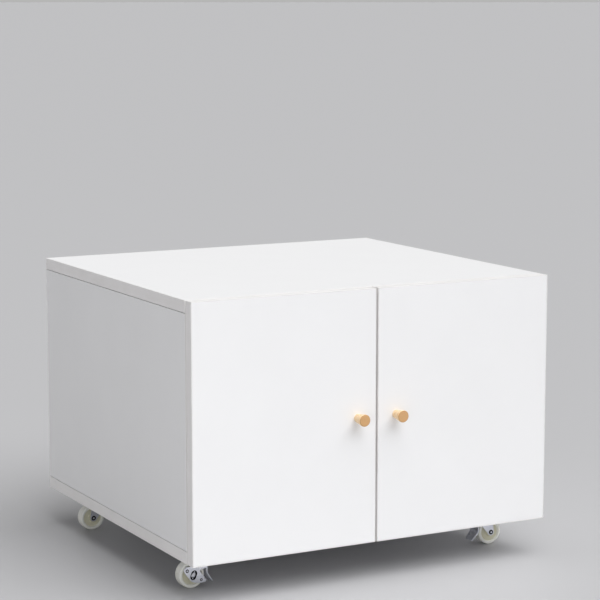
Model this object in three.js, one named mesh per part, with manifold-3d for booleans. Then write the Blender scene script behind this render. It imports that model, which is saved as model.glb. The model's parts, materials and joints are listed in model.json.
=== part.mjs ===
// Mobile printer stand: a two-door cabinet on four swivel casters.
// Millimetres, +Z up. The origin is on the floor under the middle of the overall box.
// +X runs to the right along the doors, and -Y points out of them.
import * as THREE from 'three';
import { mergeVertices } from 'three/addons/utils/BufferGeometryUtils.js';
import Module from 'manifold-3d';

const wasm = await Module();
wasm.setup();

// Cabinet
const WIDTH = 600;
const BOX_HEIGHT = 380;
const CARCASS_DEPTH = 532;
const BOARD = 18;
const CASTER_HEIGHT = 58;

// Doors and knobs
const DOOR_THICKNESS = 18;
const DOOR_STANDOFF = 2;
const CENTRE_GAP = 3;
const KNOB_LENGTH = 22;
const KNOB_BASE_RADIUS = 6.2;
const KNOB_FACE_RADIUS = 9;
const KNOB_FROM_CENTRE = 32.5;
const KNOB_SCREW_RADIUS = 2;
const KNOB_SCREW_DEPTH = 12;
const KNOB_RIM = 0.9;
const KNOB_FACE_BAND = 4.5;
const SCREW_HEAD = [[3.9, 1], [2.6, 2.2], [0, 2.4]];
const SCREW_HEAD_RADIUS = 4;
const SEAT = 0.05;

// Back panel, held in grooves
const BACK_THICKNESS = 5;
const GROOVE_DEPTH = 8;
const GROOVE_INSET = 15;
const FIT = 0.3;

// Concealed cup hinges. u runs inwards from the cabinet's side face, v runs forwards from the carcass edge.
const HINGE_FROM_END = 80;
const CUP_RADIUS = 17.5;
const CUP_CENTRE_U = 22.5;
const CUP_DEPTH = 11.8;
const OUTER_PIVOT = [23.9, -12];
const INNER_PIVOT = [38, -3.5];
const CUP_PIVOT = [8.4, 6.4];
const CUP_STUB = [13.2, 10];
const CUP_FLANGE = { lift: 0.1, thickness: 1, rim: 1.2, endZ: 19, radius: 6.5, screwZ: 22, screwRadius: 2 };
const CUP_POCKET = { outer: 6, inner: 38, halfHeight: 4.8 };
const CHEEK_POCKET = { outer: 10.5, inner: 37.2, halfHeight: 7.3 };
const POCKET_DEPTH = 12.6;
const RIM_GAP = { outer: 0, inner: 44, halfHeight: 8.2 };
const STUB = { radius: 1, from: 5.2, to: 7.6 };
const PLATE_SETBACK = 37;
const PLATE_WING = { thickness: 2.2, halfDepth: 7, halfHeight: 23, screwZ: 16, screwRadius: 2.3 };
const PLATE_RAIL = { top: 24.6, back: -58, front: -22, halfHeight: 6.6 };
const ARM_HALF_WIDTH = 8.5;
const ARM_WALL = 1.3;
const ARM_SLOT = { low: [24, -54, -2.2], high: [27, -48, 2.2] };
const ARM_WALL_OUTLINE = [
  [20.6, -60],
  [26.2, -60],
  [26.2, -44],
  [33, -22],
  [40.4, -8],
  [40.6, -2.6],
  [38.6, -1.1],
  [36.6, -1.5],
  [25, -9.3],
  [21.6, -10.4],
  [20.6, -14],
];
const ARM_WEB_OUTLINE = [
  [25, -60],
  [26.2, -60],
  [26.2, -44],
  [33, -22],
  [37.2, -14],
  [36, -13.6],
  [31.9, -21.4],
  [25, -43.7],
];
const PIVOT_PIN_RADIUS = 1;
const CUP_PIN_RADIUS = 0.8;
const OUTER_LINK_PATH = [OUTER_PIVOT, [24, 0.6], [19.8, 5.8], [16.4, 9], [13.6, 9.9], [10.9, 9.4], CUP_PIVOT];
const OUTER_LINK = { radius: 1.4, halfHeight: 4.4, knuckle: 2.4, cupKnuckle: 1.85 };
const INNER_LINK_PATH = [INNER_PIVOT, [35, -1], [29, 5], [26, 8], [23.2, 10.4], [18.6, 10.4]];
const INNER_LINK = { radius: 1.15, inside: 5, outside: 6.8, knuckle: 2.1 };

// Casters
const WHEEL_RADIUS = 20;
const WHEEL_WIDTH = 17;
const WHEEL_FROM_SIDE = 40;
const WHEEL_FROM_EDGE = 77;
const CASTER_TRAIL = 13;
const PLATE_SIZE = 42;
const PLATE_THICKNESS = 2;
const PLATE_CORNER = 4;
const PLATE_HOLE_INSET = 6;
const PLATE_HOLE_RADIUS = 2.2;
const DISH = { low: 53.6, radius: 11, rim: 14.5 };
const RECESS = { floor: 55.4, radius: 6.6, mouth: 7.4 };
const RACE_PROFILE = [[4.5, 51], [14, 51], [15.6, 51.8], [15.6, 52.6], [14, 53.3], [4.5, 53.3], [4.5, 51]];
const CROWN = { low: 45, high: 47.4, top: 50.6, radius: 15.5, topRadius: 12.8, plateLength: 27, corner: 2.5 };
const KINGPIN_HOLE = 4.3;
const KINGPIN_PROFILE = [
  [0, 42.6],
  [5, 43],
  [6.2, 44.7],
  [4, 44.7],
  [4, 55.7],
  [6.2, 55.7],
  [5.4, 57.2],
  [0, 57.6],
];
const LEG_INSIDE = 9.8;
const LEG_THICKNESS = 2;
const LEG_END_RADIUS = 5.5;
const LEG_OUTLINE = [[-0.8, 27.2], [26.4, 27.2], [26.4, 24], [4.7, -2.9], [-5.4, -1]];
const AXLE = { radius: 2.5, head: 3.8, shoulder: 2.6, shoulderHeight: 1.2, height: 1.5 };
const WHEEL_DISH = { depth: 1.6, inner: 14.8, outer: 15.6, treadEdge: 18.4 };

// Brake pedals. s runs from the axle towards the cabinet's middle, z runs up from the axle.
const PEDAL_PIVOT = [-10, 8.3];
const PEDAL_PIN = { radius: 1.6, root: 0.5, reach: 2.6 };
const PEDAL_LUG = { from: [0, 8], radius: 4 };
const PEDAL_THICKNESS = 1.5;
const PEDAL_CHEEK = [
  [-14, 12],
  [-11.5, 14.2],
  [22.2, 14.2],
  [22.2, 9.4],
  [8.6, 8],
  [20.6, -8.4],
  [19.6, -11],
  [11.5, -12.2],
  [-2.5, -9.6],
  [-14.6, 6.4],
];
const PEDAL_TONGUE = [[15.8, 17.2], [21.4, 12.6]];
const PEDAL_TONGUE_HALF_WIDTH = 7.5;
const PEDAL_PADDLE = [[21.4, 12.6], [21.9, 4.6], [32, -8.2]];
const PEDAL_PADDLE_REACH = 9;
const PEDAL_AXLE_SLOT = { low: [-0.4, -1.6], high: [1.4, 3.2], radius: 4.8 };
const PEDAL_RIVET = { at: [12.6, -7.4], radius: 2, height: 0.4 };

// Heights and depths that follow from them
const BOX_BOTTOM = CASTER_HEIGHT;
const BOX_TOP = CASTER_HEIGHT + BOX_HEIGHT;
const TOTAL_DEPTH = KNOB_LENGTH + DOOR_THICKNESS + DOOR_STANDOFF + CARCASS_DEPTH;
const BACK_Y = TOTAL_DEPTH / 2;
const FRONT_Y = BACK_Y - CARCASS_DEPTH;
const DOOR_BACK_Y = FRONT_Y - DOOR_STANDOFF;
const DOOR_FRONT_Y = DOOR_BACK_Y - DOOR_THICKNESS;
const INNER_WIDTH = WIDTH - 2 * BOARD;
const MIDDLE_Z = BOX_BOTTOM + BOX_HEIGHT / 2;

const FINISHES = {
  carcass_board: { color: 0xe9e8e6, roughness: 0.5, metalness: 0 },
  door_board: { color: 0xf2f2f1, roughness: 0.42, metalness: 0 },
  knob_beech: { color: 0xe6bd86, roughness: 0.5, metalness: 0 },
  hinge_nickel: { color: 0xc9c7c2, roughness: 0.3, metalness: 1 },
  screw_steel: { color: 0xb9bcc0, roughness: 0.35, metalness: 1 },
  caster_zinc: { color: 0xbfc4ca, roughness: 0.38, metalness: 1 },
  wheel_nylon: { color: 0xe4e2d2, roughness: 0.5, metalness: 0 },
};

const stand = new THREE.Group();

/** Names a solid, gives it its finish and adds it to the stand. */
function addPiece(name, solid, finish) {
  const geometry = solid.isBufferGeometry ? solid : fromManifold(solid);
  const mesh = new THREE.Mesh(geometry, new THREE.MeshStandardMaterial(FINISHES[finish]));
  mesh.name = name;
  stand.add(mesh);
  return mesh;
}

/** Turns closed three.js geometry into a solid that can be joined and cut. */
function toManifold(geometry) {
  const bare = geometry.clone();
  bare.deleteAttribute('normal');
  bare.deleteAttribute('uv');
  const merged = mergeVertices(bare, 1e-4);
  const vertProperties = new Float32Array(merged.attributes.position.array);
  const triVerts = new Uint32Array(merged.index.array);
  return new wasm.Manifold(new wasm.Mesh({ numProp: 3, vertProperties, triVerts }));
}

/** Gives a joined or cut solid back as three.js geometry. */
function fromManifold(solid) {
  const { vertProperties, triVerts } = solid.getMesh();
  const geometry = new THREE.BufferGeometry();
  geometry.setAttribute('position', new THREE.BufferAttribute(new Float32Array(vertProperties), 3));
  geometry.setIndex(new THREE.BufferAttribute(new Uint32Array(triVerts), 1));
  geometry.computeVertexNormals();
  return geometry;
}

/** A box between two corners. */
function box(low, high) {
  const size = low.map((value, axis) => high[axis] - value);
  const geometry = new THREE.BoxGeometry(...size);
  return geometry.translate(...low.map((value, axis) => value + size[axis] / 2));
}

/** A closed outline through the points given. */
function outline(points) {
  return new THREE.Shape(points.map(([x, y]) => new THREE.Vector2(x, y)));
}

/** A round outline. */
function disc([x, y], radius) {
  const shape = new THREE.Shape();
  shape.absarc(x, y, radius, 0, Math.PI);
  shape.absarc(x, y, radius, Math.PI, 2 * Math.PI);
  return shape;
}

/** A straight slot outline with round ends. */
function capsule([ax, ay], [bx, by], radius) {
  const angle = Math.atan2(by - ay, bx - ax);
  const shape = new THREE.Shape();
  shape.absarc(bx, by, radius, angle - Math.PI / 2, angle + Math.PI / 2);
  shape.absarc(ax, ay, radius, angle + Math.PI / 2, angle + 1.5 * Math.PI);
  return shape;
}

/** A rectangle with round corners, centred on the origin. */
function roundRect(width, height, radius) {
  const x = width / 2 - radius;
  const y = height / 2 - radius;
  const shape = new THREE.Shape();
  shape.absarc(x, y, radius, 0, Math.PI / 2);
  shape.absarc(-x, y, radius, Math.PI / 2, Math.PI);
  shape.absarc(-x, -y, radius, Math.PI, 1.5 * Math.PI);
  shape.absarc(x, -y, radius, 1.5 * Math.PI, 2 * Math.PI);
  return shape;
}

/** A flat outline made `length` thick. */
function thicken(shape, length, curveSegments) {
  return new THREE.ExtrudeGeometry(shape, { depth: length, bevelEnabled: false, curveSegments });
}

/** A flat outline raised from z = low to z = high. */
function raise(shape, low, high, curveSegments = 3) {
  return thicken(shape, high - low, curveSegments).translate(0, 0, low);
}

/** An (x, z) outline swept from y = low to y = high. */
function sweep(shape, low, high, curveSegments = 3) {
  return thicken(shape, high - low, curveSegments).rotateX(Math.PI / 2).translate(0, high, 0);
}

/** The lower and upper end of a stretch that lies on the side of `middle` that `sign` gives. */
function onSide(middle, sign, near, far) {
  return [middle + sign * near, middle + sign * far].sort((first, second) => first - second);
}

/** A profile of [radius, height] points turned about +Z. */
function turn(profile, segments = 20) {
  const points = profile.map(([x, y]) => new THREE.Vector2(x, y));
  return new THREE.LatheGeometry(points, segments).rotateX(Math.PI / 2);
}

/** Joins solids into one. */
function join(...geometries) {
  return geometries.map(toManifold).reduce((whole, piece) => whole.add(piece));
}

/** Takes the later solids away from the first. */
function cut(whole, ...geometries) {
  return geometries.reduce((rest, piece) => rest.subtract(toManifold(piece)), whole);
}

/** A bent bar of even thickness: one round-ended stretch for each pair of points, joined. */
function bentBar(points, radius, low, high) {
  const stretches = points.slice(1).map((point, index) => (
    raise(capsule(points[index], point, radius), low, high, 1)
  ));
  return join(...stretches);
}

/** The four boards of the carcass and the thin back panel in its grooves. */
function addCarcass() {
  const half = WIDTH / 2;
  const innerHalf = INNER_WIDTH / 2;
  const innerLow = BOX_BOTTOM + BOARD;
  const innerHigh = BOX_TOP - BOARD;
  const grooveBack = BACK_Y - GROOVE_INSET;
  const grooveFront = grooveBack - BACK_THICKNESS - 2 * FIT;
  const grooveHalf = innerHalf + GROOVE_DEPTH;

  const boards = [
    ['top_panel', [-half, FRONT_Y, innerHigh], [half, BACK_Y, BOX_TOP]],
    ['bottom_panel', [-half, FRONT_Y, BOX_BOTTOM], [half, BACK_Y, innerLow]],
    ['left_side_panel', [-half, FRONT_Y, innerLow], [-innerHalf, BACK_Y, innerHigh]],
    ['right_side_panel', [innerHalf, FRONT_Y, innerLow], [half, BACK_Y, innerHigh]],
  ];
  const groove = box(
    [-grooveHalf, grooveFront, innerLow - GROOVE_DEPTH],
    [grooveHalf, grooveBack, innerHigh + GROOVE_DEPTH],
  );
  for (const [name, low, high] of boards) {
    addPiece(name, cut(toManifold(box(low, high)), groove), 'carcass_board');
  }
  const back = box(
    [-grooveHalf + FIT, grooveFront + FIT, innerLow - GROOVE_DEPTH + FIT],
    [grooveHalf - FIT, grooveBack - FIT, innerHigh + GROOVE_DEPTH - FIT],
  );
  addPiece('back_panel', back, 'carcass_board');
}

/** One door with its cup bores and knob hole, its turned knob, and the screw that holds the knob. */
function addDoor(side, direction) {
  const outer = direction * WIDTH / 2;
  const inner = direction * CENTRE_GAP / 2;
  const slab = box(
    [Math.min(outer, inner), DOOR_FRONT_Y, BOX_BOTTOM],
    [Math.max(outer, inner), DOOR_BACK_Y, BOX_TOP],
  );
  const knobX = direction * KNOB_FROM_CENTRE;
  const cupX = direction * (WIDTH / 2 - CUP_CENTRE_U);
  const bores = hingeHeights().map((z) => sweep(
    disc([cupX, z], CUP_RADIUS + FIT),
    DOOR_BACK_Y - CUP_DEPTH - FIT,
    DOOR_BACK_Y + 1,
    6,
  ));
  const holeOutline = disc([knobX, MIDDLE_Z], KNOB_SCREW_RADIUS + FIT);
  const screwHole = sweep(holeOutline, DOOR_FRONT_Y - 1, DOOR_BACK_Y + 1);
  addPiece(`${side}_door`, cut(toManifold(slab), ...bores, screwHole), 'door_board');

  const length = KNOB_LENGTH - SEAT;
  const knobProfile = [
    [KNOB_SCREW_RADIUS + FIT, 0],
    [KNOB_BASE_RADIUS, 0],
    [KNOB_FACE_RADIUS - 0.1, length - KNOB_FACE_BAND],
    [KNOB_FACE_RADIUS, length - KNOB_RIM],
    [KNOB_FACE_RADIUS - KNOB_RIM, length],
    [0, length],
    [0, KNOB_SCREW_DEPTH + 1],
    [KNOB_SCREW_RADIUS + FIT, KNOB_SCREW_DEPTH + 1],
    [KNOB_SCREW_RADIUS + FIT, 0],
  ];
  const knob = addPiece(`${side}_knob`, turn(knobProfile, 24), 'knob_beech');
  knob.rotation.x = Math.PI / 2;
  knob.position.set(knobX, DOOR_FRONT_Y - SEAT, MIDDLE_Z);

  const shank = DOOR_THICKNESS + KNOB_SCREW_DEPTH;
  const screwProfile = [
    [0, -shank],
    [KNOB_SCREW_RADIUS, -shank],
    [KNOB_SCREW_RADIUS, 0],
    [SCREW_HEAD_RADIUS, 0],
    ...SCREW_HEAD,
  ];
  const screw = addPiece(`${side}_knob_screw`, turn(screwProfile, 12), 'screw_steel');
  screw.rotation.x = -Math.PI / 2;
  screw.position.set(knobX, DOOR_BACK_Y + SEAT, MIDDLE_Z);
}

/** Heights of the hinge centre lines. */
function hingeHeights() {
  return [BOX_BOTTOM + HINGE_FROM_END, BOX_TOP - HINGE_FROM_END];
}

/** One concealed hinge: mounting plate, arm, two links and cup. */
function addHinge(name, direction, height) {
  const toPlan = ([u, v]) => [direction * (WIDTH / 2 - u), FRONT_Y - v];
  const planOutline = (points) => outline(points.map(toPlan));
  const planBox = ([u0, v0, z0], [u1, v1, z1]) => {
    const [xa, ya] = toPlan([u0, v0]);
    const [xb, yb] = toPlan([u1, v1]);
    const low = [Math.min(xa, xb), Math.min(ya, yb), height + z0];
    return box(low, [Math.max(xa, xb), Math.max(ya, yb), height + z1]);
  };
  const planPocket = ({ outer, inner, halfHeight }, from, to) => (
    planBox([outer, from, -halfHeight], [inner, to, halfHeight])
  );
  const planPin = (point, radius, half) => raise(disc(toPlan(point), radius), height - half, height + half);

  addPiece(`${name}_mounting_plate`, mountingPlate(planBox, toPlan, height), 'hinge_nickel');

  const inside = ARM_HALF_WIDTH - ARM_WALL;
  const walls = [-1, 1].map((sign) => (
    raise(planOutline(ARM_WALL_OUTLINE), ...onSide(height, sign, inside, ARM_HALF_WIDTH))
  ));
  const web = raise(planOutline(ARM_WEB_OUTLINE), height - ARM_HALF_WIDTH, height + ARM_HALF_WIDTH);
  const pins = [OUTER_PIVOT, INNER_PIVOT].map((pivot) => planPin(pivot, PIVOT_PIN_RADIUS, inside + 0.5));
  const slot = planBox(ARM_SLOT.low, ARM_SLOT.high);
  addPiece(`${name}_arm`, cut(join(...walls, web, ...pins), slot), 'hinge_nickel');

  const { radius, halfHeight, knuckle, cupKnuckle } = OUTER_LINK;
  const outerPath = OUTER_LINK_PATH.map(toPlan);
  const outerBar = bentBar(outerPath, radius, height - halfHeight, height + halfHeight)
    .add(toManifold(planPin(OUTER_PIVOT, knuckle, halfHeight)))
    .add(toManifold(planPin(CUP_PIVOT, cupKnuckle, halfHeight)));
  const outerBores = [
    planPin(OUTER_PIVOT, PIVOT_PIN_RADIUS + FIT, halfHeight + 1),
    planPin(CUP_PIVOT, CUP_PIN_RADIUS + FIT, halfHeight + 1),
  ];
  addPiece(`${name}_outer_link`, cut(outerBar, ...outerBores), 'hinge_nickel');

  const cheekPath = INNER_LINK_PATH.map(toPlan);
  const [lowerCheek, upperCheek] = [-1, 1].map((sign) => (
    bentBar(cheekPath, INNER_LINK.radius, ...onSide(height, sign, INNER_LINK.inside, INNER_LINK.outside))
  ));
  const tube = toManifold(planPin(INNER_PIVOT, INNER_LINK.knuckle, INNER_LINK.outside));
  const tubeBore = planPin(INNER_PIVOT, PIVOT_PIN_RADIUS + FIT, INNER_LINK.outside + 1);
  addPiece(`${name}_inner_link`, cut(lowerCheek.add(upperCheek).add(tube), tubeBore), 'hinge_nickel');

  const mouth = DOOR_STANDOFF - 3;
  const hollow = cut(
    cupShell(direction * (WIDTH / 2 - CUP_CENTRE_U), height),
    planPocket(CUP_POCKET, mouth, POCKET_DEPTH),
    planPocket(CHEEK_POCKET, mouth, POCKET_DEPTH),
    planPocket(RIM_GAP, mouth, DOOR_STANDOFF),
  );
  const stubs = [-1, 1].map((sign) => (
    raise(disc(toPlan(CUP_STUB), STUB.radius), ...onSide(height, sign, STUB.from, STUB.to))
  ));
  const cupPins = [planPin(CUP_PIVOT, CUP_PIN_RADIUS, 6), ...stubs];
  const cup = cupPins.reduce((whole, pin) => whole.add(toManifold(pin)), hollow);
  addPiece(`${name}_cup`, cup, 'hinge_nickel');
}

/** A hinge's mounting plate: two wings with a screw hole each, and a rail for the arm. */
function mountingPlate(planBox, toPlan, height) {
  const { thickness, halfDepth, halfHeight, screwZ, screwRadius } = PLATE_WING;
  const wings = planBox(
    [BOARD, -PLATE_SETBACK - halfDepth, -halfHeight],
    [BOARD + thickness, -PLATE_SETBACK + halfDepth, halfHeight],
  );
  const rail = planBox(
    [BOARD, PLATE_RAIL.back, -PLATE_RAIL.halfHeight],
    [PLATE_RAIL.top, PLATE_RAIL.front, PLATE_RAIL.halfHeight],
  );
  const [x, y] = toPlan([BOARD + 1, -PLATE_SETBACK]);
  const holes = [-1, 1].map((sign) => {
    const hole = new THREE.CylinderGeometry(screwRadius, screwRadius, 6, 10).rotateZ(Math.PI / 2);
    return hole.translate(x, y, height + sign * screwZ);
  });
  return cut(join(wings, rail), ...holes);
}

/** A hinge cup before its pocket is cut: the bowl, its rim, and the flange with two screw holes. */
function cupShell(x, height) {
  const { lift, thickness, rim, endZ, radius, screwZ, screwRadius } = CUP_FLANGE;
  const top = DOOR_BACK_Y + lift + thickness;
  const flangeOutline = capsule([x, height - endZ], [x, height + endZ], radius);
  const bowl = sweep(disc([x, height], CUP_RADIUS), DOOR_BACK_Y - CUP_DEPTH, DOOR_BACK_Y, 6);
  const collar = sweep(disc([x, height], CUP_RADIUS + rim), DOOR_BACK_Y, top, 6);
  const flange = sweep(flangeOutline, DOOR_BACK_Y + lift, top);
  const holes = [-1, 1].map((sign) => (
    sweep(disc([x, height + sign * screwZ], screwRadius), DOOR_BACK_Y - 1, top + 1)
  ));
  return cut(join(bowl, collar, flange), ...holes);
}

/** A swivel caster. The wheel trails towards `trail` (-1 left, 1 right) of its swivel axis. */
function addCaster(name, axisX, axisY, trail, hasBrake) {
  const wheelX = axisX + trail * CASTER_TRAIL;
  const local = ([s, z]) => [wheelX - trail * s, WHEEL_RADIUS + z];
  const onAxis = (mesh) => mesh.position.set(axisX, axisY, 0);
  const onAxle = (mesh) => {
    mesh.rotation.x = Math.PI / 2;
    mesh.position.set(wheelX, axisY, WHEEL_RADIUS);
  };

  onAxis(addPiece(`${name}_caster_plate`, casterPlate(), 'caster_zinc'));
  onAxis(addPiece(`${name}_bearing_race`, turn(RACE_PROFILE), 'caster_zinc'));
  onAxis(addPiece(`${name}_kingpin`, turn(KINGPIN_PROFILE, 12), 'caster_zinc'));
  addPiece(`${name}_fork`, fork(local, axisX, axisY, hasBrake ? trail : 0), 'caster_zinc');

  const headInside = LEG_INSIDE + LEG_THICKNESS + FIT;
  const halfAxle = [
    [AXLE.radius, headInside],
    [AXLE.head, headInside],
    [AXLE.shoulder, headInside + AXLE.shoulderHeight],
    [0, headInside + AXLE.height],
  ];
  onAxle(addPiece(`${name}_axle`, turn([...mirrored(halfAxle), ...halfAxle], 12), 'caster_zinc'));

  const half = WHEEL_WIDTH / 2;
  const { depth, inner, outer, treadEdge } = WHEEL_DISH;
  const wheelSide = [
    [WHEEL_RADIUS, half - depth],
    [treadEdge, half],
    [outer, half],
    [inner, half - depth],
    [AXLE.radius + FIT, half - depth],
  ];
  const wheelProfile = [...wheelSide, ...mirrored(wheelSide), wheelSide[0]];
  onAxle(addPiece(`${name}_wheel`, turn(wheelProfile, 36), 'wheel_nylon'));

  if (hasBrake) {
    addPiece(`${name}_brake_pedal`, brakePedal(local, axisY, trail), 'caster_zinc');
  }
}

/** The other half of a profile that is the same above and below height 0, so that the two join up. */
function mirrored(profile) {
  return profile.map(([radius, height]) => [radius, -height]).reverse();
}

/** A caster's top plate with its pressed dish, four slots and the kingpin's hole, on its swivel axis. */
function casterPlate() {
  const low = CASTER_HEIGHT - PLATE_THICKNESS;
  const inDish = CASTER_HEIGHT - PLATE_THICKNESS / 2;
  const holeAt = PLATE_SIZE / 2 - PLATE_HOLE_INSET;
  const slots = [[1, 1], [-1, 1], [-1, -1], [1, -1]].map(([sx, sy]) => {
    const ends = [-1, 1].map((end) => [sx * holeAt + end, sy * holeAt]);
    return raise(capsule(...ends, PLATE_HOLE_RADIUS), low - 1, CASTER_HEIGHT + 1, 1);
  });
  const flat = raise(roundRect(PLATE_SIZE, PLATE_SIZE, PLATE_CORNER), low, CASTER_HEIGHT, 2);
  const dish = turn([
    [0, DISH.low],
    [DISH.radius, DISH.low],
    [DISH.rim, low],
    [DISH.rim, inDish],
    [0, inDish],
  ]);
  const recess = turn([
    [0, RECESS.floor],
    [RECESS.radius, RECESS.floor],
    [RECESS.mouth, CASTER_HEIGHT + 1],
    [0, CASTER_HEIGHT + 1],
  ]);
  return cut(join(flat, dish), recess, kingpinHole(), ...slots);
}

/** The hole that the kingpin passes through, on the swivel axis. */
function kingpinHole() {
  const low = CROWN.low - CROWN.radius;
  const high = CASTER_HEIGHT + 2;
  return turn([[0, low], [KINGPIN_HOLE, low], [KINGPIN_HOLE, high], [0, high]], 12);
}

/** A caster's fork. `cheekSign` is the side of the pedal's cheek, with its lug and pin, or 0 for none. */
function fork(local, axisX, axisY, cheekSign) {
  const legOutside = LEG_INSIDE + LEG_THICKNESS;
  const crown = turn([
    [0, CROWN.low],
    [CROWN.radius, CROWN.low],
    [CROWN.radius, CROWN.high],
    [CROWN.topRadius, CROWN.top],
    [0, CROWN.top],
  ]).translate(axisX, axisY, 0);
  const plateOutline = roundRect(CROWN.plateLength, 2 * legOutside, CROWN.corner);
  const crownPlate = raise(plateOutline, CROWN.low, CROWN.high, 1).translate(axisX, axisY, 0);
  const legs = [-1, 1].flatMap((sign) => {
    const [low, high] = onSide(axisY, sign, LEG_INSIDE, legOutside);
    return [
      sweep(outline(LEG_OUTLINE.map(local)), low, high),
      sweep(disc(local([0, 0]), LEG_END_RADIUS), low, high, 4),
    ];
  });
  const axleHole = sweep(disc(local([0, 0]), AXLE.radius + FIT), axisY - PLATE_SIZE, axisY + PLATE_SIZE, 4);
  const crownHole = kingpinHole().translate(axisX, axisY, 0);
  if (cheekSign === 0) {
    return cut(join(crown, crownPlate, ...legs), axleHole, crownHole);
  }
  const lug = sweep(
    capsule(local(PEDAL_PIVOT), local(PEDAL_LUG.from), PEDAL_LUG.radius),
    ...onSide(axisY, cheekSign, LEG_INSIDE, legOutside),
  );
  const pin = sweep(
    disc(local(PEDAL_PIVOT), PEDAL_PIN.radius),
    ...onSide(axisY, cheekSign, LEG_INSIDE + PEDAL_PIN.root, legOutside + PEDAL_PIN.reach),
  );
  return cut(join(crown, crownPlate, ...legs, lug), axleHole, crownHole).add(toManifold(pin));
}

/** A pressed brake pedal: a cheek beside the fork, a paddle across the wheel and a tongue over its tread. */
function brakePedal(local, axisY, cheekSign) {
  const near = LEG_INSIDE + LEG_THICKNESS + FIT;
  const far = near + PEDAL_THICKNESS;
  const [cheekLow, cheekHigh] = onSide(axisY, cheekSign, near, far);
  const [paddleLow, paddleHigh] = onSide(axisY, cheekSign, -PEDAL_PADDLE_REACH, far);
  const strip = (points, low, high) => points.slice(1).map((point, index) => (
    sweep(capsule(local(points[index]), local(point), PEDAL_THICKNESS / 2), low, high, 1)
  ));
  const tongue = strip(PEDAL_TONGUE, axisY - PEDAL_TONGUE_HALF_WIDTH, axisY + PEDAL_TONGUE_HALF_WIDTH);
  const paddle = strip(PEDAL_PADDLE, paddleLow, paddleHigh);
  const cheek = sweep(outline(PEDAL_CHEEK.map(local)), cheekLow, cheekHigh);
  const rivet = sweep(
    disc(local(PEDAL_RIVET.at), PEDAL_RIVET.radius),
    ...onSide(axisY, cheekSign, near, far + PEDAL_RIVET.height),
  );
  const { low: slotLow, high: slotHigh, radius: slotRadius } = PEDAL_AXLE_SLOT;
  const slotOutline = capsule(local(slotLow), local(slotHigh), slotRadius);
  const axleSlot = sweep(slotOutline, cheekLow - 1, cheekHigh + 1);
  const pivotHole = sweep(disc(local(PEDAL_PIVOT), PEDAL_PIN.radius + FIT), cheekLow - 1, cheekHigh + 1);
  return cut(join(cheek, ...tongue, ...paddle, rivet), pivotHole, axleSlot);
}

addCarcass();
for (const [side, direction] of [['left', -1], ['right', 1]]) {
  const casterX = direction * (WIDTH / 2 - WHEEL_FROM_SIDE - CASTER_TRAIL);
  const [lowerHinge, upperHinge] = hingeHeights();
  addDoor(side, direction);
  addHinge(`${side}_lower_hinge`, direction, lowerHinge);
  addHinge(`${side}_upper_hinge`, direction, upperHinge);
  addCaster(`front_${side}`, casterX, FRONT_Y + WHEEL_FROM_EDGE, direction, true);
  addCaster(`rear_${side}`, casterX, BACK_Y - WHEEL_FROM_EDGE, direction, false);
}

export default stand;
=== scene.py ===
"""Looks of a mobile printer stand: a white two-door cabinet on four swivel casters.

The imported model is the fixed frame. Every piece here is placed from its node boxes and joints, and rides on
one of its bodies. Lengths inside the classes are in millimetres; Blender's own are in metres.
"""
import json
import logging
import math
from dataclasses import dataclass
from enum import Enum
from typing import Iterable, Sequence

import bmesh
import bpy
from mathutils import Matrix, Vector

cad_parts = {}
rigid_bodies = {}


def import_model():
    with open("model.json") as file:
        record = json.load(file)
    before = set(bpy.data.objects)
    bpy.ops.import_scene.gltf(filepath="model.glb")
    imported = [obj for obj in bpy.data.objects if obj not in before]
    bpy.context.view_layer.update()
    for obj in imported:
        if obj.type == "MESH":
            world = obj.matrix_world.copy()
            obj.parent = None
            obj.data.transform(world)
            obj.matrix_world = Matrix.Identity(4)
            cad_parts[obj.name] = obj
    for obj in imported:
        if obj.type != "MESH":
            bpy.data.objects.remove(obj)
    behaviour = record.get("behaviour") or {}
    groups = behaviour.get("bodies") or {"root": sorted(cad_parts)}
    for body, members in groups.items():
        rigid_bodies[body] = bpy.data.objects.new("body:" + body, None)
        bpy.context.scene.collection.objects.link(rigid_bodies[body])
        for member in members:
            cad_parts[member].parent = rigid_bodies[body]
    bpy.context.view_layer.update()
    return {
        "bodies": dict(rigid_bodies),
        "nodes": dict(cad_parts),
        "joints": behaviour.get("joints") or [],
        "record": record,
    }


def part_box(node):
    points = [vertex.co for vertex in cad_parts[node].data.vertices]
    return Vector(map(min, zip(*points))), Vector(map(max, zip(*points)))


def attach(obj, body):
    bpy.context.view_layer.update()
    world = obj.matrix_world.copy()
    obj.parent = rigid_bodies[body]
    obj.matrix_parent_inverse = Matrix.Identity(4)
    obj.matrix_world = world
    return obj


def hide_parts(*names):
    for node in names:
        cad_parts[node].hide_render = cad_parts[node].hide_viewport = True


LOG = logging.getLogger("printer_stand")
MM = 0.001
SMOOTH_ANGLE = math.radians(34)

Point = tuple[float, float]
Outline = list[Point]
Colour = tuple[float, float, float, float]


# ---------------------------------------------------------------- colour and nodes


def linear(hex_colour: str) -> Colour:
    """Turns an sRGB hex colour into the linear values that shaders take.

    Args:
        hex_colour: six hex digits, such as "E9E8E6".

    Returns:
        Linear red, green, blue, and an alpha of 1.
    """
    channels = [int(hex_colour[i:i + 2], 16) / 255 for i in (0, 2, 4)]
    red, green, blue = (c / 12.92 if c <= 0.04045 else ((c + 0.055) / 1.055) ** 2.4 for c in channels)
    return (red, green, blue, 1.0)


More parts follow.
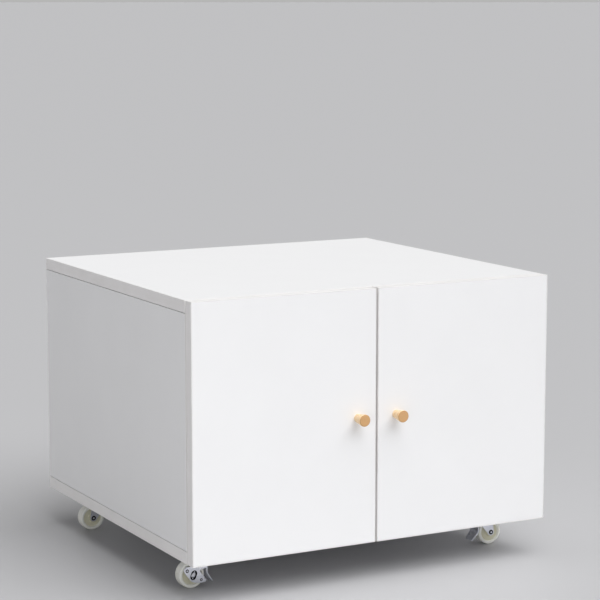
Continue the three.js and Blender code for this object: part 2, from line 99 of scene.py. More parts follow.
def add_node(
    tree: bpy.types.NodeTree,
    kind: str,
    settings: dict[str, object] | None = None,
    values: dict[str | int, object] | None = None,
    links: dict[str | int, bpy.types.NodeSocket] | None = None,
) -> bpy.types.Node:
    """Adds one node with its settings, socket values and incoming links.

    Args:
        tree: the node tree that gets the node.
        kind: the node's Blender type name.
        settings: attributes of the node itself.
        values: default values by input socket.
        links: output sockets of earlier nodes by input socket.

    Returns:
        The new node.
    """
    node = tree.nodes.new(kind)
    for attribute, value in (settings or {}).items():
        setattr(node, attribute, value)
    for socket, value in (values or {}).items():
        node.inputs[socket].default_value = value
    for socket, source in (links or {}).items():
        tree.links.new(source, node.inputs[socket])
    return node


# ---------------------------------------------------------------- finishes


@dataclass(frozen=True)
class Finish:
    """A surface finish, held by one material.

    Attributes:
        name: the material's name.
    """

    name: str

    def material(self) -> bpy.types.Material:
        """Returns the finish's material, made the first time it is asked for."""
        made = bpy.data.materials.get(self.name)
        if made is None:
            made = bpy.data.materials.new(self.name)
            made.use_nodes = True
            made.node_tree.nodes.clear()
            shader = self.shade(made.node_tree)
            add_node(made.node_tree, "ShaderNodeOutputMaterial", links={"Surface": shader.outputs[0]})
        return made

    def shade(self, tree: bpy.types.NodeTree) -> bpy.types.Node:
        """Builds the finish's nodes.

        Args:
            tree: the material's empty node tree.

        Returns:
            The shader node that the surface takes.
        """
        raise NotImplementedError

    @staticmethod
    def noise(
        tree: bpy.types.NodeTree,
        size_mm: float,
        stretch: Sequence[float] = (1, 1, 1),
        detail: float = 3.0,
    ) -> bpy.types.NodeSocket:
        """Adds object-space noise whose blotches have a real size.

        Args:
            tree: the material's node tree.
            size_mm: size of one blotch in millimetres.
            stretch: how many times longer a blotch is along each axis.
            detail: octaves of finer noise on top.

        Returns:
            The noise value's output socket.
        """
        place = add_node(tree, "ShaderNodeTexCoord")
        scale = add_node(
            tree,
            "ShaderNodeMapping",
            values={"Scale": [1 / (size_mm * MM * length) for length in stretch]},
            links={"Vector": place.outputs["Object"]},
        )
        blotches = add_node(
            tree,
            "ShaderNodeTexNoise",
            values={"Scale": 1.0, "Detail": detail, "Roughness": 0.55},
            links={"Vector": scale.outputs[0]},
        )
        return blotches.outputs[0]

    @staticmethod
    def reach(tree: bpy.types.NodeTree) -> bpy.types.NodeSocket:
        """Adds the distance from the piece's own Z axis, in metres, and returns its socket."""
        place = add_node(tree, "ShaderNodeTexCoord")
        flat = add_node(
            tree,
            "ShaderNodeVectorMath",
            settings={"operation": "MULTIPLY"},
            values={1: (1, 1, 0)},
            links={0: place.outputs["Object"]},
        )
        distance = add_node(
            tree, "ShaderNodeVectorMath", settings={"operation": "LENGTH"}, links={0: flat.outputs[0]}
        )
        return distance.outputs["Value"]

    @staticmethod
    def span(
        tree: bpy.types.NodeTree,
        value: bpy.types.NodeSocket,
        low: float,
        high: float,
        start: float = 0.3,
        end: float = 0.7,
    ) -> bpy.types.NodeSocket:
        """Maps a value from start..end onto low..high.

        Args:
            tree: the material's node tree.
            value: the socket to map.
            low: result at start.
            high: result at end.
            start: value that gives low.
            end: value that gives high.

        Returns:
            The mapped value's output socket.
        """
        mapped = add_node(
            tree,
            "ShaderNodeMapRange",
            values={"From Min": start, "From Max": end, "To Min": low, "To Max": high},
            links={"Value": value},
        )
        return mapped.outputs[0]

    @staticmethod
    def blend(
        tree: bpy.types.NodeTree,
        share: bpy.types.NodeSocket,
        first: object,
        second: object,
    ) -> bpy.types.NodeSocket:
        """Mixes two colours, each a socket or a fixed colour.

        Args:
            tree: the material's node tree.
            share: how much of the second colour shows.
            first: colour at share 0.
            second: colour at share 1.

        Returns:
            The mixed colour's output socket.
        """
        fixed = {i: c for i, c in ((6, first), (7, second)) if not isinstance(c, bpy.types.NodeSocket)}
        linked = {i: c for i, c in ((6, first), (7, second)) if isinstance(c, bpy.types.NodeSocket)}
        mixed = add_node(
            tree,
            "ShaderNodeMix",
            settings={"data_type": "RGBA", "blend_type": "MIX"},
            values=fixed,
            links={0: share, **linked},
        )
        return mixed.outputs[2]

    @staticmethod
    def relief(
        tree: bpy.types.NodeTree,
        height: bpy.types.NodeSocket,
        depth_mm: float,
        strength: float,
        under: bpy.types.NodeSocket | None = None,
    ) -> bpy.types.NodeSocket:
        """Turns a height pattern into a bumped normal.

        Args:
            tree: the material's node tree.
            height: pattern of 0 to 1.
            depth_mm: height of the pattern in millimetres.
            strength: share of the bump that shows.
            under: a coarser bumped normal to add to.

        Returns:
            The normal's output socket.
        """
        bump = add_node(
            tree,
            "ShaderNodeBump",
            values={"Distance": depth_mm * MM, "Strength": strength},
            links={"Height": height, **({"Normal": under} if under else {})},
        )
        return bump.outputs[0]


@dataclass(frozen=True)
class MelamineFinish(Finish):
    """White melamine paper pressed onto particle board under a finely textured plate.

    It gives a cool satin white with a fine pearl texture, faint wide undulation from the chips below, and
    slightly glossier patches where hands wipe it.
    """

    colour: str = "F5F5F6"
    shade_colour: str = "F3F3F4"
    pearl_mm: float = 1.1
    chip_mm: float = 14.0
    wipe_mm: float = 120.0
    roughness: float = 0.42

    def shade(self, tree: bpy.types.NodeTree) -> bpy.types.Node:
        """Builds the melamine's nodes and returns its shader."""
        pearl = self.noise(tree, self.pearl_mm, detail=2.0)
        chips = self.noise(tree, self.chip_mm)
        wipes = self.noise(tree, self.wipe_mm, detail=5.0)
        tone = self.blend(
            tree, self.span(tree, wipes, 0.0, 1.0), linear(self.colour), linear(self.shade_colour)
        )
        gloss = self.span(tree, wipes, self.roughness - 0.03, self.roughness + 0.04)
        broad = self.relief(tree, chips, 0.02, 0.2)
        normal = self.relief(tree, pearl, 0.03, 0.3, broad)
        return add_node(
            tree,
            "ShaderNodeBsdfPrincipled",
            values={"IOR": 1.54},
            links={"Base Color": tone, "Roughness": gloss, "Normal": normal},
        )


@dataclass(frozen=True)
class EdgeBandFinish(Finish):
    """Extruded ABS edge banding, glued on hot and trimmed flush.

    It gives a slightly warmer, smoother white than the board faces, with fine trimming marks.
    """

    colour: str = "F6F4F4"
    worn_colour: str = "F1EFEE"
    mark_mm: float = 2.2
    roughness: float = 0.38

    def shade(self, tree: bpy.types.NodeTree) -> bpy.types.Node:
        """Builds the edge band's nodes and returns its shader."""
        marks = self.noise(tree, self.mark_mm, detail=4.0)
        wear = self.noise(tree, self.mark_mm * 18)
        tone = self.blend(
            tree, self.span(tree, wear, 0.0, 1.0), linear(self.colour), linear(self.worn_colour)
        )
        return add_node(
            tree,
            "ShaderNodeBsdfPrincipled",
            values={"IOR": 1.53},
            links={
                "Base Color": tone,
                "Roughness": self.span(tree, marks, self.roughness - 0.05, self.roughness + 0.08),
                "Normal": self.relief(tree, marks, 0.02, 0.3),
            },
        )


@dataclass(frozen=True)
class BeechFinish(Finish):
    """Steamed beech, turned and given a thin satin lacquer.

    It gives pale straight grain with short darker ray flecks on the sides, and closer, browner end grain with
    growth rings on the face, with a darker brown ring round the face's edge as painted shade. The grain runs
    along the piece's own Z axis.
    """

    early_colour: str = "FBDFB4"
    late_colour: str = "EFC48C"
    fleck_colour: str = "CF9D63"
    end_colour: str = "D9AB77"
    end_line_colour: str = "C59660"
    # painted shade: the colour of the ring round the face's edge
    rim_shade_colour: str = "B07F48"
    ring_mm: float = 1.7
    fleck_mm: float = 0.5
    face_mm: float = 9.0
    heart_mm: tuple[float, float] = (17.0, 9.0)
    roughness: float = 0.4

    def shade(self, tree: bpy.types.NodeTree) -> bpy.types.Node:
        """Builds the beech's nodes and returns its shader."""
        place = add_node(tree, "ShaderNodeTexCoord")
        heart = add_node(
            tree,
            "ShaderNodeMapping",
            values={"Location": (self.heart_mm[0] * MM, self.heart_mm[1] * MM, 0.0)},
            links={"Vector": place.outputs["Object"]},
        )
        rings = add_node(
            tree,
            "ShaderNodeTexWave",
            settings={"wave_type": "RINGS", "rings_direction": "Z"},
            values={
                "Scale": 2 * math.pi / (20 * self.ring_mm * MM),
                "Distortion": 2.5,
                "Detail": 2.0,
                "Detail Scale": 60.0,
            },
            links={"Vector": heart.outputs[0]},
        )
        flecks = self.noise(tree, self.fleck_mm, stretch=(1, 1, 7), detail=2.0)
        grain = self.blend(
            tree,
            self.span(tree, rings.outputs[1], 0.0, 0.75, 0.2, 0.95),
            linear(self.early_colour),
            linear(self.late_colour),
        )
        fleck_share = self.span(tree, flecks, 0.0, 0.75, 0.58, 0.74)
        flecked = self.blend(tree, fleck_share, grain, linear(self.fleck_colour))
        facing = add_node(tree, "ShaderNodeSeparateXYZ", links={"Vector": place.outputs["Normal"]})
        # Painted shade: a darker brown ring is painted round the outer edge of the face.
        on_shaded_rim = self.span(
            tree, self.reach(tree), 0.0, 0.9, self.face_mm * 0.83 * MM, self.face_mm * 0.97 * MM
        )
        end_share = self.span(tree, facing.outputs["Z"], 0.0, 1.0, 0.35, 0.9)
        lines = self.span(tree, rings.outputs[1], 0.0, 0.8, 0.4, 1.0)
        end_grain = self.blend(tree, lines, linear(self.end_colour), linear(self.end_line_colour))
        rim_shaded = self.blend(tree, on_shaded_rim, end_grain, linear(self.rim_shade_colour))
        tone = self.blend(tree, end_share, flecked, rim_shaded)
        return add_node(
            tree,
            "ShaderNodeBsdfPrincipled",
            values={"IOR": 1.5, "Coat Weight": 0.25, "Coat Roughness": 0.25},
            links={
                "Base Color": tone,
                "Roughness": self.span(tree, flecks, self.roughness, self.roughness + 0.12),
                "Normal": self.relief(tree, flecks, 0.03, 0.35),
            },
        )


@dataclass(frozen=True)
class PlatedSteelFinish(Finish):
    """Pressed mild steel with a thin bright plating, zinc or nickel.

    It gives a bright, slightly uneven metal: soft patches where the bath left it bluer or yellower, a fine
    rolled texture under the plating, and rougher rubbed areas.
    """

    colour: str = "F0F1F7"
    tint_colour: str = "DFE2EC"
    patch_mm: float = 7.0
    mill_mm: float = 0.7
    roughness: float = 0.3

    def shade(self, tree: bpy.types.NodeTree) -> bpy.types.Node:
        """Builds the plating's nodes and returns its shader."""
        patches = self.noise(tree, self.patch_mm, detail=4.0)
        mill = self.noise(tree, self.mill_mm, stretch=(1, 1, 3))
        tone = self.blend(
            tree, self.span(tree, patches, 0.0, 1.0), linear(self.colour), linear(self.tint_colour)
        )
        return add_node(
            tree,
            "ShaderNodeBsdfPrincipled",
            values={"Metallic": 1.0},
            links={
                "Base Color": tone,
                "Roughness": self.span(tree, patches, self.roughness - 0.06, self.roughness + 0.12),
                "Normal": self.relief(tree, mill, 0.03, 0.3),
            },
        )


@dataclass(frozen=True)
class NylonFinish(Finish):
    """Ivory nylon wheel, injection moulded, scuffed by use.

    It gives a slightly see-through warm white. The tread is dulled by fine scuffs. The recessed web and hub
    are painted darker and yellower as painted shade. The wheel turns about the piece's own Z axis, which the
    pattern is laid out around.
    """

    colour: str = "FAFAF3"
    # painted shade: the darker, yellower colour of the recessed web and hub
    web_shade_colour: str = "DCD9BE"
    scuff_colour: str = "EAE8DE"
    radius_mm: float = 20.0
    web_mm: float = 15.2
    scuff_mm: float = 1.6
    roughness: float = 0.42

    def shade(self, tree: bpy.types.NodeTree) -> bpy.types.Node:
        """Builds the nylon's nodes and returns its shader."""
        reach = self.reach(tree)
        scuffs = self.noise(tree, self.scuff_mm, stretch=(1, 1, 2.5), detail=5.0)
        # Painted shade: everything inside the web's edge is darkened towards the web colour, as shade in the
        # recess.
        web_edge = self.web_mm * MM
        in_shaded_web = self.span(tree, reach, 0.9, 0.0, web_edge - 0.0012, web_edge)
        on_tread = self.span(tree, reach, 0.0, 1.0, (self.radius_mm - 0.7) * MM, self.radius_mm * MM)
        scuffed = add_node(
            tree,
            "ShaderNodeMath",
            settings={"operation": "MULTIPLY"},
            links={0: on_tread, 1: self.span(tree, scuffs, 0.0, 0.7, 0.42, 0.7)},
        )
        web_shaded = self.blend(tree, in_shaded_web, linear(self.colour), linear(self.web_shade_colour))
        tone = self.blend(tree, scuffed.outputs[0], web_shaded, linear(self.scuff_colour))
        return add_node(
            tree,
            "ShaderNodeBsdfPrincipled",
            values={
                "IOR": 1.53,
                "Subsurface Weight": 0.08,
                "Subsurface Radius": (0.002, 0.0018, 0.0014),
                "Subsurface Scale": 0.5,
            },
            links={
                "Base Color": tone,
                "Roughness": self.span(tree, scuffs, self.roughness - 0.04, self.roughness + 0.2),
                "Normal": self.relief(tree, scuffs, 0.04, 0.3),
            },
        )


@dataclass(frozen=True)
class DarkSteelFinish(Finish):
    """Near-black steel with a trace of oil, used as painted shadow: dark rings round the axle, pivot and stud
    heads and a dark plate in the pedal's axle slot stand in for shadow gaps.

    It gives a near-black metal with a soft grey sheen.
    """

    colour: str = "26262A"
    roughness: float = 0.45

    def shade(self, tree: bpy.types.NodeTree) -> bpy.types.Node:
        """Builds the dark steel's nodes and returns its shader."""
        oil = self.noise(tree, 1.5)
        return add_node(
            tree,
            "ShaderNodeBsdfPrincipled",
            values={"Base Color": linear(self.colour), "Metallic": 1.0},
            links={"Roughness": self.span(tree, oil, self.roughness - 0.08, self.roughness + 0.1)},
        )


@dataclass(frozen=True)
class ClearBufferFinish(Finish):
    """Clear cast polyurethane, for the small domed door buffers.

    It gives a soft, slightly cloudy transparent dome.
    """

    colour: str = "E8EAEA"

    def shade(self, tree: bpy.types.NodeTree) -> bpy.types.Node:
        """Builds the polyurethane's nodes and returns its shader."""
        cloud = self.noise(tree, 1.2)
        return add_node(
            tree,
            "ShaderNodeBsdfPrincipled",
            values={"Base Color": linear(self.colour), "IOR": 1.49, "Transmission Weight": 0.7},
            links={"Roughness": self.span(tree, cloud, 0.12, 0.25)},
        )


@dataclass(frozen=True)
class FloorFinish(Finish):
    """Plain pale studio floor, painted matt."""

    colour: str = "BCBCBE"

    def shade(self, tree: bpy.types.NodeTree) -> bpy.types.Node:
        """Builds the floor's nodes and returns its shader."""
        return add_node(
            tree, "ShaderNodeBsdfPrincipled", values={"Base Color": linear(self.colour), "Roughness": 0.55}
        )


MELAMINE = MelamineFinish("white_melamine")
BACK_FOIL = MelamineFinish(
    "white_paper_foil", colour="EFEFED", shade_colour="ECEBE9", pearl_mm=2.2, roughness=0.5
)
EDGE_BAND = EdgeBandFinish("abs_edge_band")
BEECH = BeechFinish("turned_beech")
ZINC = PlatedSteelFinish("bright_zinc_plate")
NICKEL = PlatedSteelFinish("nickel_plate", colour="E4E0D8", tint_colour="D2CDC4", roughness=0.25)
NYLON = NylonFinish("ivory_nylon")
# painted shadow: this near-black steel stands in for the shade in gaps round heads and in the axle slot
DARK_STEEL = DarkSteelFinish("dark_steel_painted_shadow")
CLEAR_BUFFER = ClearBufferFinish("clear_polyurethane")
FLOOR = FloorFinish("studio_floor")


# ---------------------------------------------------------------- outlines


def arc(centre: Point, radius: float, start: float, end: float, steps: int = 12) -> Outline:
    """Points along a circular arc.

    Args:
        centre: the arc's centre.
        radius: its radius.
        start: first angle in degrees.
        end: last angle in degrees.
        steps: stretches that the arc is drawn with.

    Returns:
        The points from start to end.
    """
    angles = [math.radians(start + (end - start) * i / steps) for i in range(steps + 1)]
    return [(centre[0] + radius * math.cos(a), centre[1] + radius * math.sin(a)) for a in angles]


def circle(centre: Point, radius: float, steps: int = 32) -> Outline:
    """A closed round outline."""
    return arc(centre, radius, 0, 360, steps)[:-1]


def slot(first: Point, second: Point, radius: float, steps: int = 10) -> Outline:
    """A closed straight slot with round ends.

    Args:
        first: centre of one end.
        second: centre of the other end.
        radius: half of the slot's width.
        steps: stretches in each round end.

    Returns:
        The slot's outline.
    """
    angle = math.degrees(math.atan2(second[1] - first[1], second[0] - first[0]))
    return arc(second, radius, angle - 90, angle + 90, steps) + arc(
        first, radius, angle + 90, angle + 270, steps
    )


def fillet(points: Sequence[Point], radius: float, steps: int = 5, closed: bool = True) -> Outline:
    """Rounds the corners of an outline or path.

    Args:
        points: the corners.
        radius: distance from each corner at which its curve starts, less on short sides.
        steps: stretches in each round corner.
        closed: False leaves the first and last point as they are.

    Returns:
        The rounded points.
    """
    rounded: Outline = []
    count = len(points)
    for i, corner in enumerate(points):
        if not closed and i in (0, count - 1):
            rounded.append(corner)
            continue
        here = Vector(corner)
        before = Vector(points[i - 1]) - here
        after = Vector(points[(i + 1) % count]) - here
        reach = min(radius, before.length * 0.48, after.length * 0.48)
        start = here + before.normalized() * reach
        end = here + after.normalized() * reach
        for step in range(steps + 1):
            t = step / steps
            on_curve = start * (1 - t) ** 2 + here * 2 * t * (1 - t) + end * t ** 2
            rounded.append((on_curve.x, on_curve.y))
    return rounded


def ribbon(path: Sequence[Point], thickness: float) -> Outline:
    """The closed outline of a bent strip of even thickness.

    Args:
        path: the strip's middle line.
        thickness: its thickness.

    Returns:
        The outline, down one side of the path and back up the other.
    """
    sides: tuple[Outline, Outline] = ([], [])
    for i, point in enumerate(path):
        before = Vector(path[max(i - 1, 0)])
        after = Vector(path[min(i + 1, len(path) - 1)])
        along = (after - before).normalized()
        across = Vector((-along.y, along.x)) * thickness / 2
        for side, sign in zip(sides, (1, -1)):
            side.append((point[0] + sign * across.x, point[1] + sign * across.y))
    return sides[0] + sides[1][::-1]


# ---------------------------------------------------------------- meshes


def to_object(name: str, work: bmesh.types.BMesh, frame: Matrix = Matrix.Identity(4)) -> bpy.types.Object:
    """Makes a piece from a mesh drawn in millimetres in a frame of its own.

    Args:
        name: the piece's name.
        work: the mesh, which is used up.
        frame: where the piece's own axes lie, in metres.

    Returns:
        The piece.
    """
    bmesh.ops.remove_doubles(work, verts=work.verts, dist=1e-4)
    bmesh.ops.transform(work, matrix=Matrix.Scale(MM, 4), verts=work.verts)
    bmesh.ops.recalc_face_normals(work, faces=work.faces)
    mesh = bpy.data.meshes.new(name)
    work.to_mesh(mesh)
    work.free()
    return wrap(name, mesh, frame)


def wrap(name: str, mesh: bpy.types.Mesh, frame: Matrix) -> bpy.types.Object:
    """Puts a mesh in the scene as a piece, smooth up to its sharp edges.

    Args:
        name: the piece's name.
        mesh: its mesh, in metres.
        frame: where its own axes lie.

    Returns:
        The piece.
    """
    mesh.polygons.foreach_set("use_smooth", [True] * len(mesh.polygons))
    mesh.set_sharp_from_angle(angle=SMOOTH_ANGLE)
    piece = bpy.data.objects.new(name, mesh)
    bpy.context.scene.collection.objects.link(piece)
    piece.matrix_world = frame
    even = piece.modifiers.new("even_normals", "WEIGHTED_NORMAL")
    even.keep_sharp = True
    return piece


def block(name: str, low: Vector, high: Vector, arris: float, segments: int = 3) -> bpy.types.Object:
    """A board or strip with softened edges.

    Args:
        name: the piece's name.
        low: lowest corner, in metres.
        high: highest corner, in metres.
        arris: width of the rounding on each edge, in millimetres.
        segments: steps in the rounding.

    Returns:
        The piece.
    """
    work = bmesh.new()
    bmesh.ops.create_cube(work, size=1.0)
    size = (high - low) / MM
    centre = (high + low) / 2 / MM
    bmesh.ops.transform(
        work, matrix=Matrix.Translation(centre) @ Matrix.Diagonal((*size, 1)), verts=work.verts
    )
    bmesh.ops.bevel(work, geom=work.edges[:], offset=arris, segments=segments, profile=0.5, affect="EDGES")
    return to_object(name, work)


def lathe(name: str, profile: Sequence[Point], frame: Matrix, segments: int = 64) -> bpy.types.Object:
    """A turned piece.

    Args:
        name: the piece's name.
        profile: [radius, height] points; a run that starts and ends off the axis is closed on itself.
        frame: where its own Z axis lies, in metres.
        segments: facets round the axis.

    Returns:
        The piece.
    """
    work = bmesh.new()
    rings = []
    for radius, height in profile:
        if radius < 1e-6:
            rings.append([work.verts.new((0, 0, height))])
            continue
        turns = [2 * math.pi * i / segments for i in range(segments)]
        rings.append([work.verts.new((radius * math.cos(a), radius * math.sin(a), height)) for a in turns])
    pairs = list(zip(rings, rings[1:]))
    if len(rings[0]) > 1 and len(rings[-1]) > 1:
        pairs.append((rings[-1], rings[0]))
    for lower, upper in pairs:
        for i in range(segments):
            j = (i + 1) % segments
            corners = [
                lower[i % len(lower)], lower[j % len(lower)], upper[j % len(upper)], upper[i % len(upper)]
            ]
            corners = list(dict.fromkeys(corners))
            if len(corners) > 2:
                work.faces.new(corners)
    return to_object(name, work, frame)


def sheet_metal(
    name: str,
    outlines: Sequence[Outline],
    low: float,
    high: float,
    frame: Matrix,
    arris: float = 0.25,
) -> bpy.types.Object:
    """A flat pressed or extruded piece, with holes and softened edges.

    Args:
        name: the piece's name.
        outlines: the outer edge and its holes, in the frame's XY plane, in millimetres.
        low: lower face along the frame's Z, in millimetres.
        high: upper face, in millimetres.
        frame: where its own axes lie, in metres.
        arris: width of the rounding on its edges, in millimetres.

    Returns:
        The piece.
    """
    curve = bpy.data.curves.new(name, "CURVE")
    curve.dimensions = "2D"
    curve.fill_mode = "BOTH"
    curve.extrude = (high - low) / 2 - arris
    curve.bevel_depth = arris
    curve.bevel_resolution = 1
    curve.offset = -arris
    for outline in outlines:
        spline = curve.splines.new("POLY")
        spline.points.add(len(outline) - 1)
        spline.points.foreach_set("co", [value for x, y in outline for value in (x, y, 0.0, 1.0)])
        spline.use_cyclic_u = True
    flat = bpy.data.objects.new(name, curve)
    bpy.context.scene.collection.objects.link(flat)
    bpy.context.view_layer.update()
    solid = bpy.data.meshes.new_from_object(flat.evaluated_get(bpy.context.evaluated_depsgraph_get()))
    bpy.data.objects.remove(flat)
    work = bmesh.new()
    work.from_mesh(solid)
    bmesh.ops.transform(work, matrix=Matrix.Translation((0, 0, (low + high) / 2)), verts=work.verts)
    return to_object(name, work, frame)


class Join(Enum):
    """How one solid changes another."""

    ADD = "UNION"
    CUT = "DIFFERENCE"
    KEEP = "INTERSECT"


def shape_with(piece: bpy.types.Object, how: Join, *others: bpy.types.Object) -> bpy.types.Object:
    """Joins other solids to a piece, cuts them out of it, or keeps what they share.

    Args:
        piece: the piece that is changed.
        how: what the others do to it.
        others: the other solids, which are used up.

    Returns:
        The piece.
    """
    for modifier in list(piece.modifiers):
        piece.modifiers.remove(modifier)
    for other in others:
        for modifier in list(other.modifiers):
            other.modifiers.remove(modifier)
        step = piece.modifiers.new(how.name, "BOOLEAN")
        step.operation = how.value
        step.solver = "EXACT"
        step.object = other
    bpy.context.view_layer.update()
    made = bpy.data.meshes.new_from_object(piece.evaluated_get(bpy.context.evaluated_depsgraph_get()))
    name, frame = piece.name, piece.matrix_world.copy()
    for used in (piece, *others):
        bpy.data.objects.remove(used)
    return wrap(name, made, frame)


def soften(piece: bpy.types.Object, width: float, segments: int = 2, angle: float = 40.0) -> bpy.types.Object:
    """Rounds a piece's sharp edges.

    Args:
        piece: the piece.
        width: width of the rounding in millimetres.
        segments: steps in it.
        angle: least angle of an edge that is rounded, in degrees.

    Returns:
        The piece.
    """
    if "even_normals" in piece.modifiers:
        piece.modifiers.remove(piece.modifiers["even_normals"])
    rounding = piece.modifiers.new("rounding", "BEVEL")
    rounding.width = width * MM
    rounding.segments = segments
    rounding.limit_method = "ANGLE"
    rounding.angle_limit = math.radians(angle)
    even = piece.modifiers.new("even_normals", "WEIGHTED_NORMAL")
    even.keep_sharp = False
    return piece


@dataclass(frozen=True)
class Settling:
    """What a piece belongs to.

    Attributes:
        body: the moving body that it rides on.
        slot: the record's material slot.
        finish: its surface finish.
    """

    body: str
    slot: str
    finish: Finish

    def settle(self, piece: bpy.types.Object, *stands_for: str) -> bpy.types.Object:
        """Dresses a piece, puts it on its body and reports it.

        Args:
            piece: the piece, already in its place.
            stands_for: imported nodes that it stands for.

        Returns:
            The piece.
        """
        piece.data.materials.clear()
        piece.data.materials.append(self.finish.material())
        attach(piece, self.body)
        if stands_for:
            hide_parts(*stands_for)
        LOG.info("%s rides on %s in %s", piece.name, self.body, self.finish.name)
        return piece


# ---------------------------------------------------------------- cabinet


class Face(Enum):
    """A face of a board, as an axis and a side."""

    LEFT = (0, 0)
    RIGHT = (0, 1)
    FRONT = (1, 0)
    BACK = (1, 1)
    BOTTOM = (2, 0)
    TOP = (2, 1)


@dataclass
class EdgedBoard:
    """A melamine board with glued edge bands.

    Attributes:
        node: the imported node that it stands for.
        settling: body and slot of the board and its bands.
        banded: faces that carry a band; a band runs over the ends of those after it.
        band: thickness of the bands.
        glue_line: the hairline between band and board.
        arris: rounding on the bands' edges.
        seam: how far the board stops short of its neighbours above and below.
    """

    node: str
    settling: Settling
    banded: tuple[Face, ...]
    band: float = 1.0
    glue_line: float = 0.12
    arris: float = 0.4
    seam: float = 0.0

    def build(self) -> bpy.types.Object:
        """Builds the board and its bands.

        Returns:
            The board without its bands.
        """
        low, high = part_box(self.node)
        low.z += self.seam * MM
        high.z -= self.seam * MM
        for face in self.banded:
            axis, side = face.value
            band_low, band_high = low.copy(), high.copy()
            inside = (self.band + self.glue_line) * MM
            if side:
                band_low[axis] = high[axis] - self.band * MM
                high[axis] -= inside
            else:
                band_high[axis] = low[axis] + self.band * MM
                low[axis] += inside
            strip = block(f"{self.node}_{face.name.lower()}_band", band_low, band_high, self.arris)
            Settling(self.settling.body, self.settling.slot, EDGE_BAND).settle(strip)
        return block(self.node + "_core", low, high, 0.6)


@dataclass
class Carcass:
    """The fixed box: four edged boards and a thin back in their grooves."""

    settling: Settling = Settling("carcass", "carcass_board", MELAMINE)
    back_play: float = 0.3
    seam: float = 0.75

    def build(self) -> None:
        """Builds the boards, the grooves in them and the back."""
        back_low, back_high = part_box("back_panel")
        play = Vector((1, 1, 1)) * self.back_play * MM
        across = (Face.FRONT, Face.BACK, Face.LEFT, Face.RIGHT)
        boards = {
            "top_panel": across,
            "bottom_panel": across,
            "left_side_panel": (Face.FRONT, Face.BACK),
            "right_side_panel": (Face.FRONT, Face.BACK),
        }
        for node, banded in boards.items():
            seam = self.seam if node.endswith("side_panel") else 0.0
            board = EdgedBoard(node, self.settling, banded, seam=seam).build()
            groove = block("groove", back_low - play, back_high + play, 0.05, 1)
            self.settling.settle(shape_with(board, Join.CUT, groove), node)
        back = block("back_sheet", back_low, back_high, 0.3)
        Settling(self.settling.body, self.settling.slot, BACK_FOIL).settle(back, "back_panel")


@dataclass
class CabinetFittings:
    """Cam discs that pull the boards together, and clear buffers that the doors close on."""

    body: str = "carcass"
    cam_radius: float = 7.5
    cam_from_end: float = 34.0
    buffer_radius: float = 4.0
    buffer_height: float = 1.6
    buffer_from_centre: float = 12.0

    def build(self) -> None:
        """Builds eight cams inside the side boards and four buffers on the front edges."""
        top_low, top_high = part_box("top_panel")
        bottom_low, bottom_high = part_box("bottom_panel")
        for side, sign in (("left", -1), ("right", 1)):
            low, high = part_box(f"{side}_side_panel")
            inner = low.x if sign > 0 else high.x
            depths = (low.y + 60 * MM, high.y - 80 * MM)
            heights = (low.z + self.cam_from_end * MM, high.z - self.cam_from_end * MM)
            for row, depth in zip(("front", "rear"), depths):
                for level, height in zip(("lower", "upper"), heights):
                    self.build_cam(f"{side}_{row}_{level}_cam", Vector((inner, depth, height)), -sign)
        for side, sign in (("left", -1), ("right", 1)):
            for level, height in (
                ("lower", (bottom_low.z + bottom_high.z) / 2), ("upper", (top_low.z + top_high.z) / 2)
            ):
                at = Vector((sign * self.buffer_from_centre * MM, top_low.y, height))
                self.build_buffer(f"{side}_{level}_door_buffer", at)

    def build_cam(self, name: str, at: Vector, inwards: int) -> None:
        """Builds one cam disc with its cross recess.

        Args:
            name: the piece's name.
            at: where it meets the board's inner face, in metres.
            inwards: the sign of X towards the cabinet's middle.
        """
        frame = Matrix.Translation(at) @ Matrix.Rotation(math.radians(90 * inwards), 4, "Y")
        radius = self.cam_radius
        disc = lathe(
            name, [(0, -1.5), (radius, -1.5), (radius, 0.15), (radius - 0.4, 0.5), (0, 0.5)], frame, 40
        )
        bar = slot((-2.6, 0), (2.6, 0), 0.7, 4)
        bars = [
            sheet_metal("bar", [bar], -0.8, 1.5, frame @ Matrix.Rotation(turn, 4, "Z"), 0.05)
            for turn in (0.4, 0.4 + math.pi / 2)
        ]
        Settling(self.body, "screw_steel", ZINC).settle(soften(shape_with(disc, Join.CUT, *bars), 0.12, 1))

    def build_buffer(self, name: str, at: Vector) -> None:
        """Builds one clear domed buffer on a front edge.

        Args:
            name: the piece's name.
            at: its middle on the edge, in metres.
        """
        radius, height = self.buffer_radius, self.buffer_height
        dome = [
            (radius * math.cos(a), height * math.sin(a)) for a in (math.radians(5 * i) for i in range(18))
        ]
        frame = Matrix.Translation(at) @ Matrix.Rotation(math.radians(90), 4, "X")
        buffer = lathe(name, [(0, 0), *dome, (0, height)], frame, 32)
        Settling(self.body, "hinge_nickel", CLEAR_BUFFER).settle(buffer)


# ---------------------------------------------------------------- doors


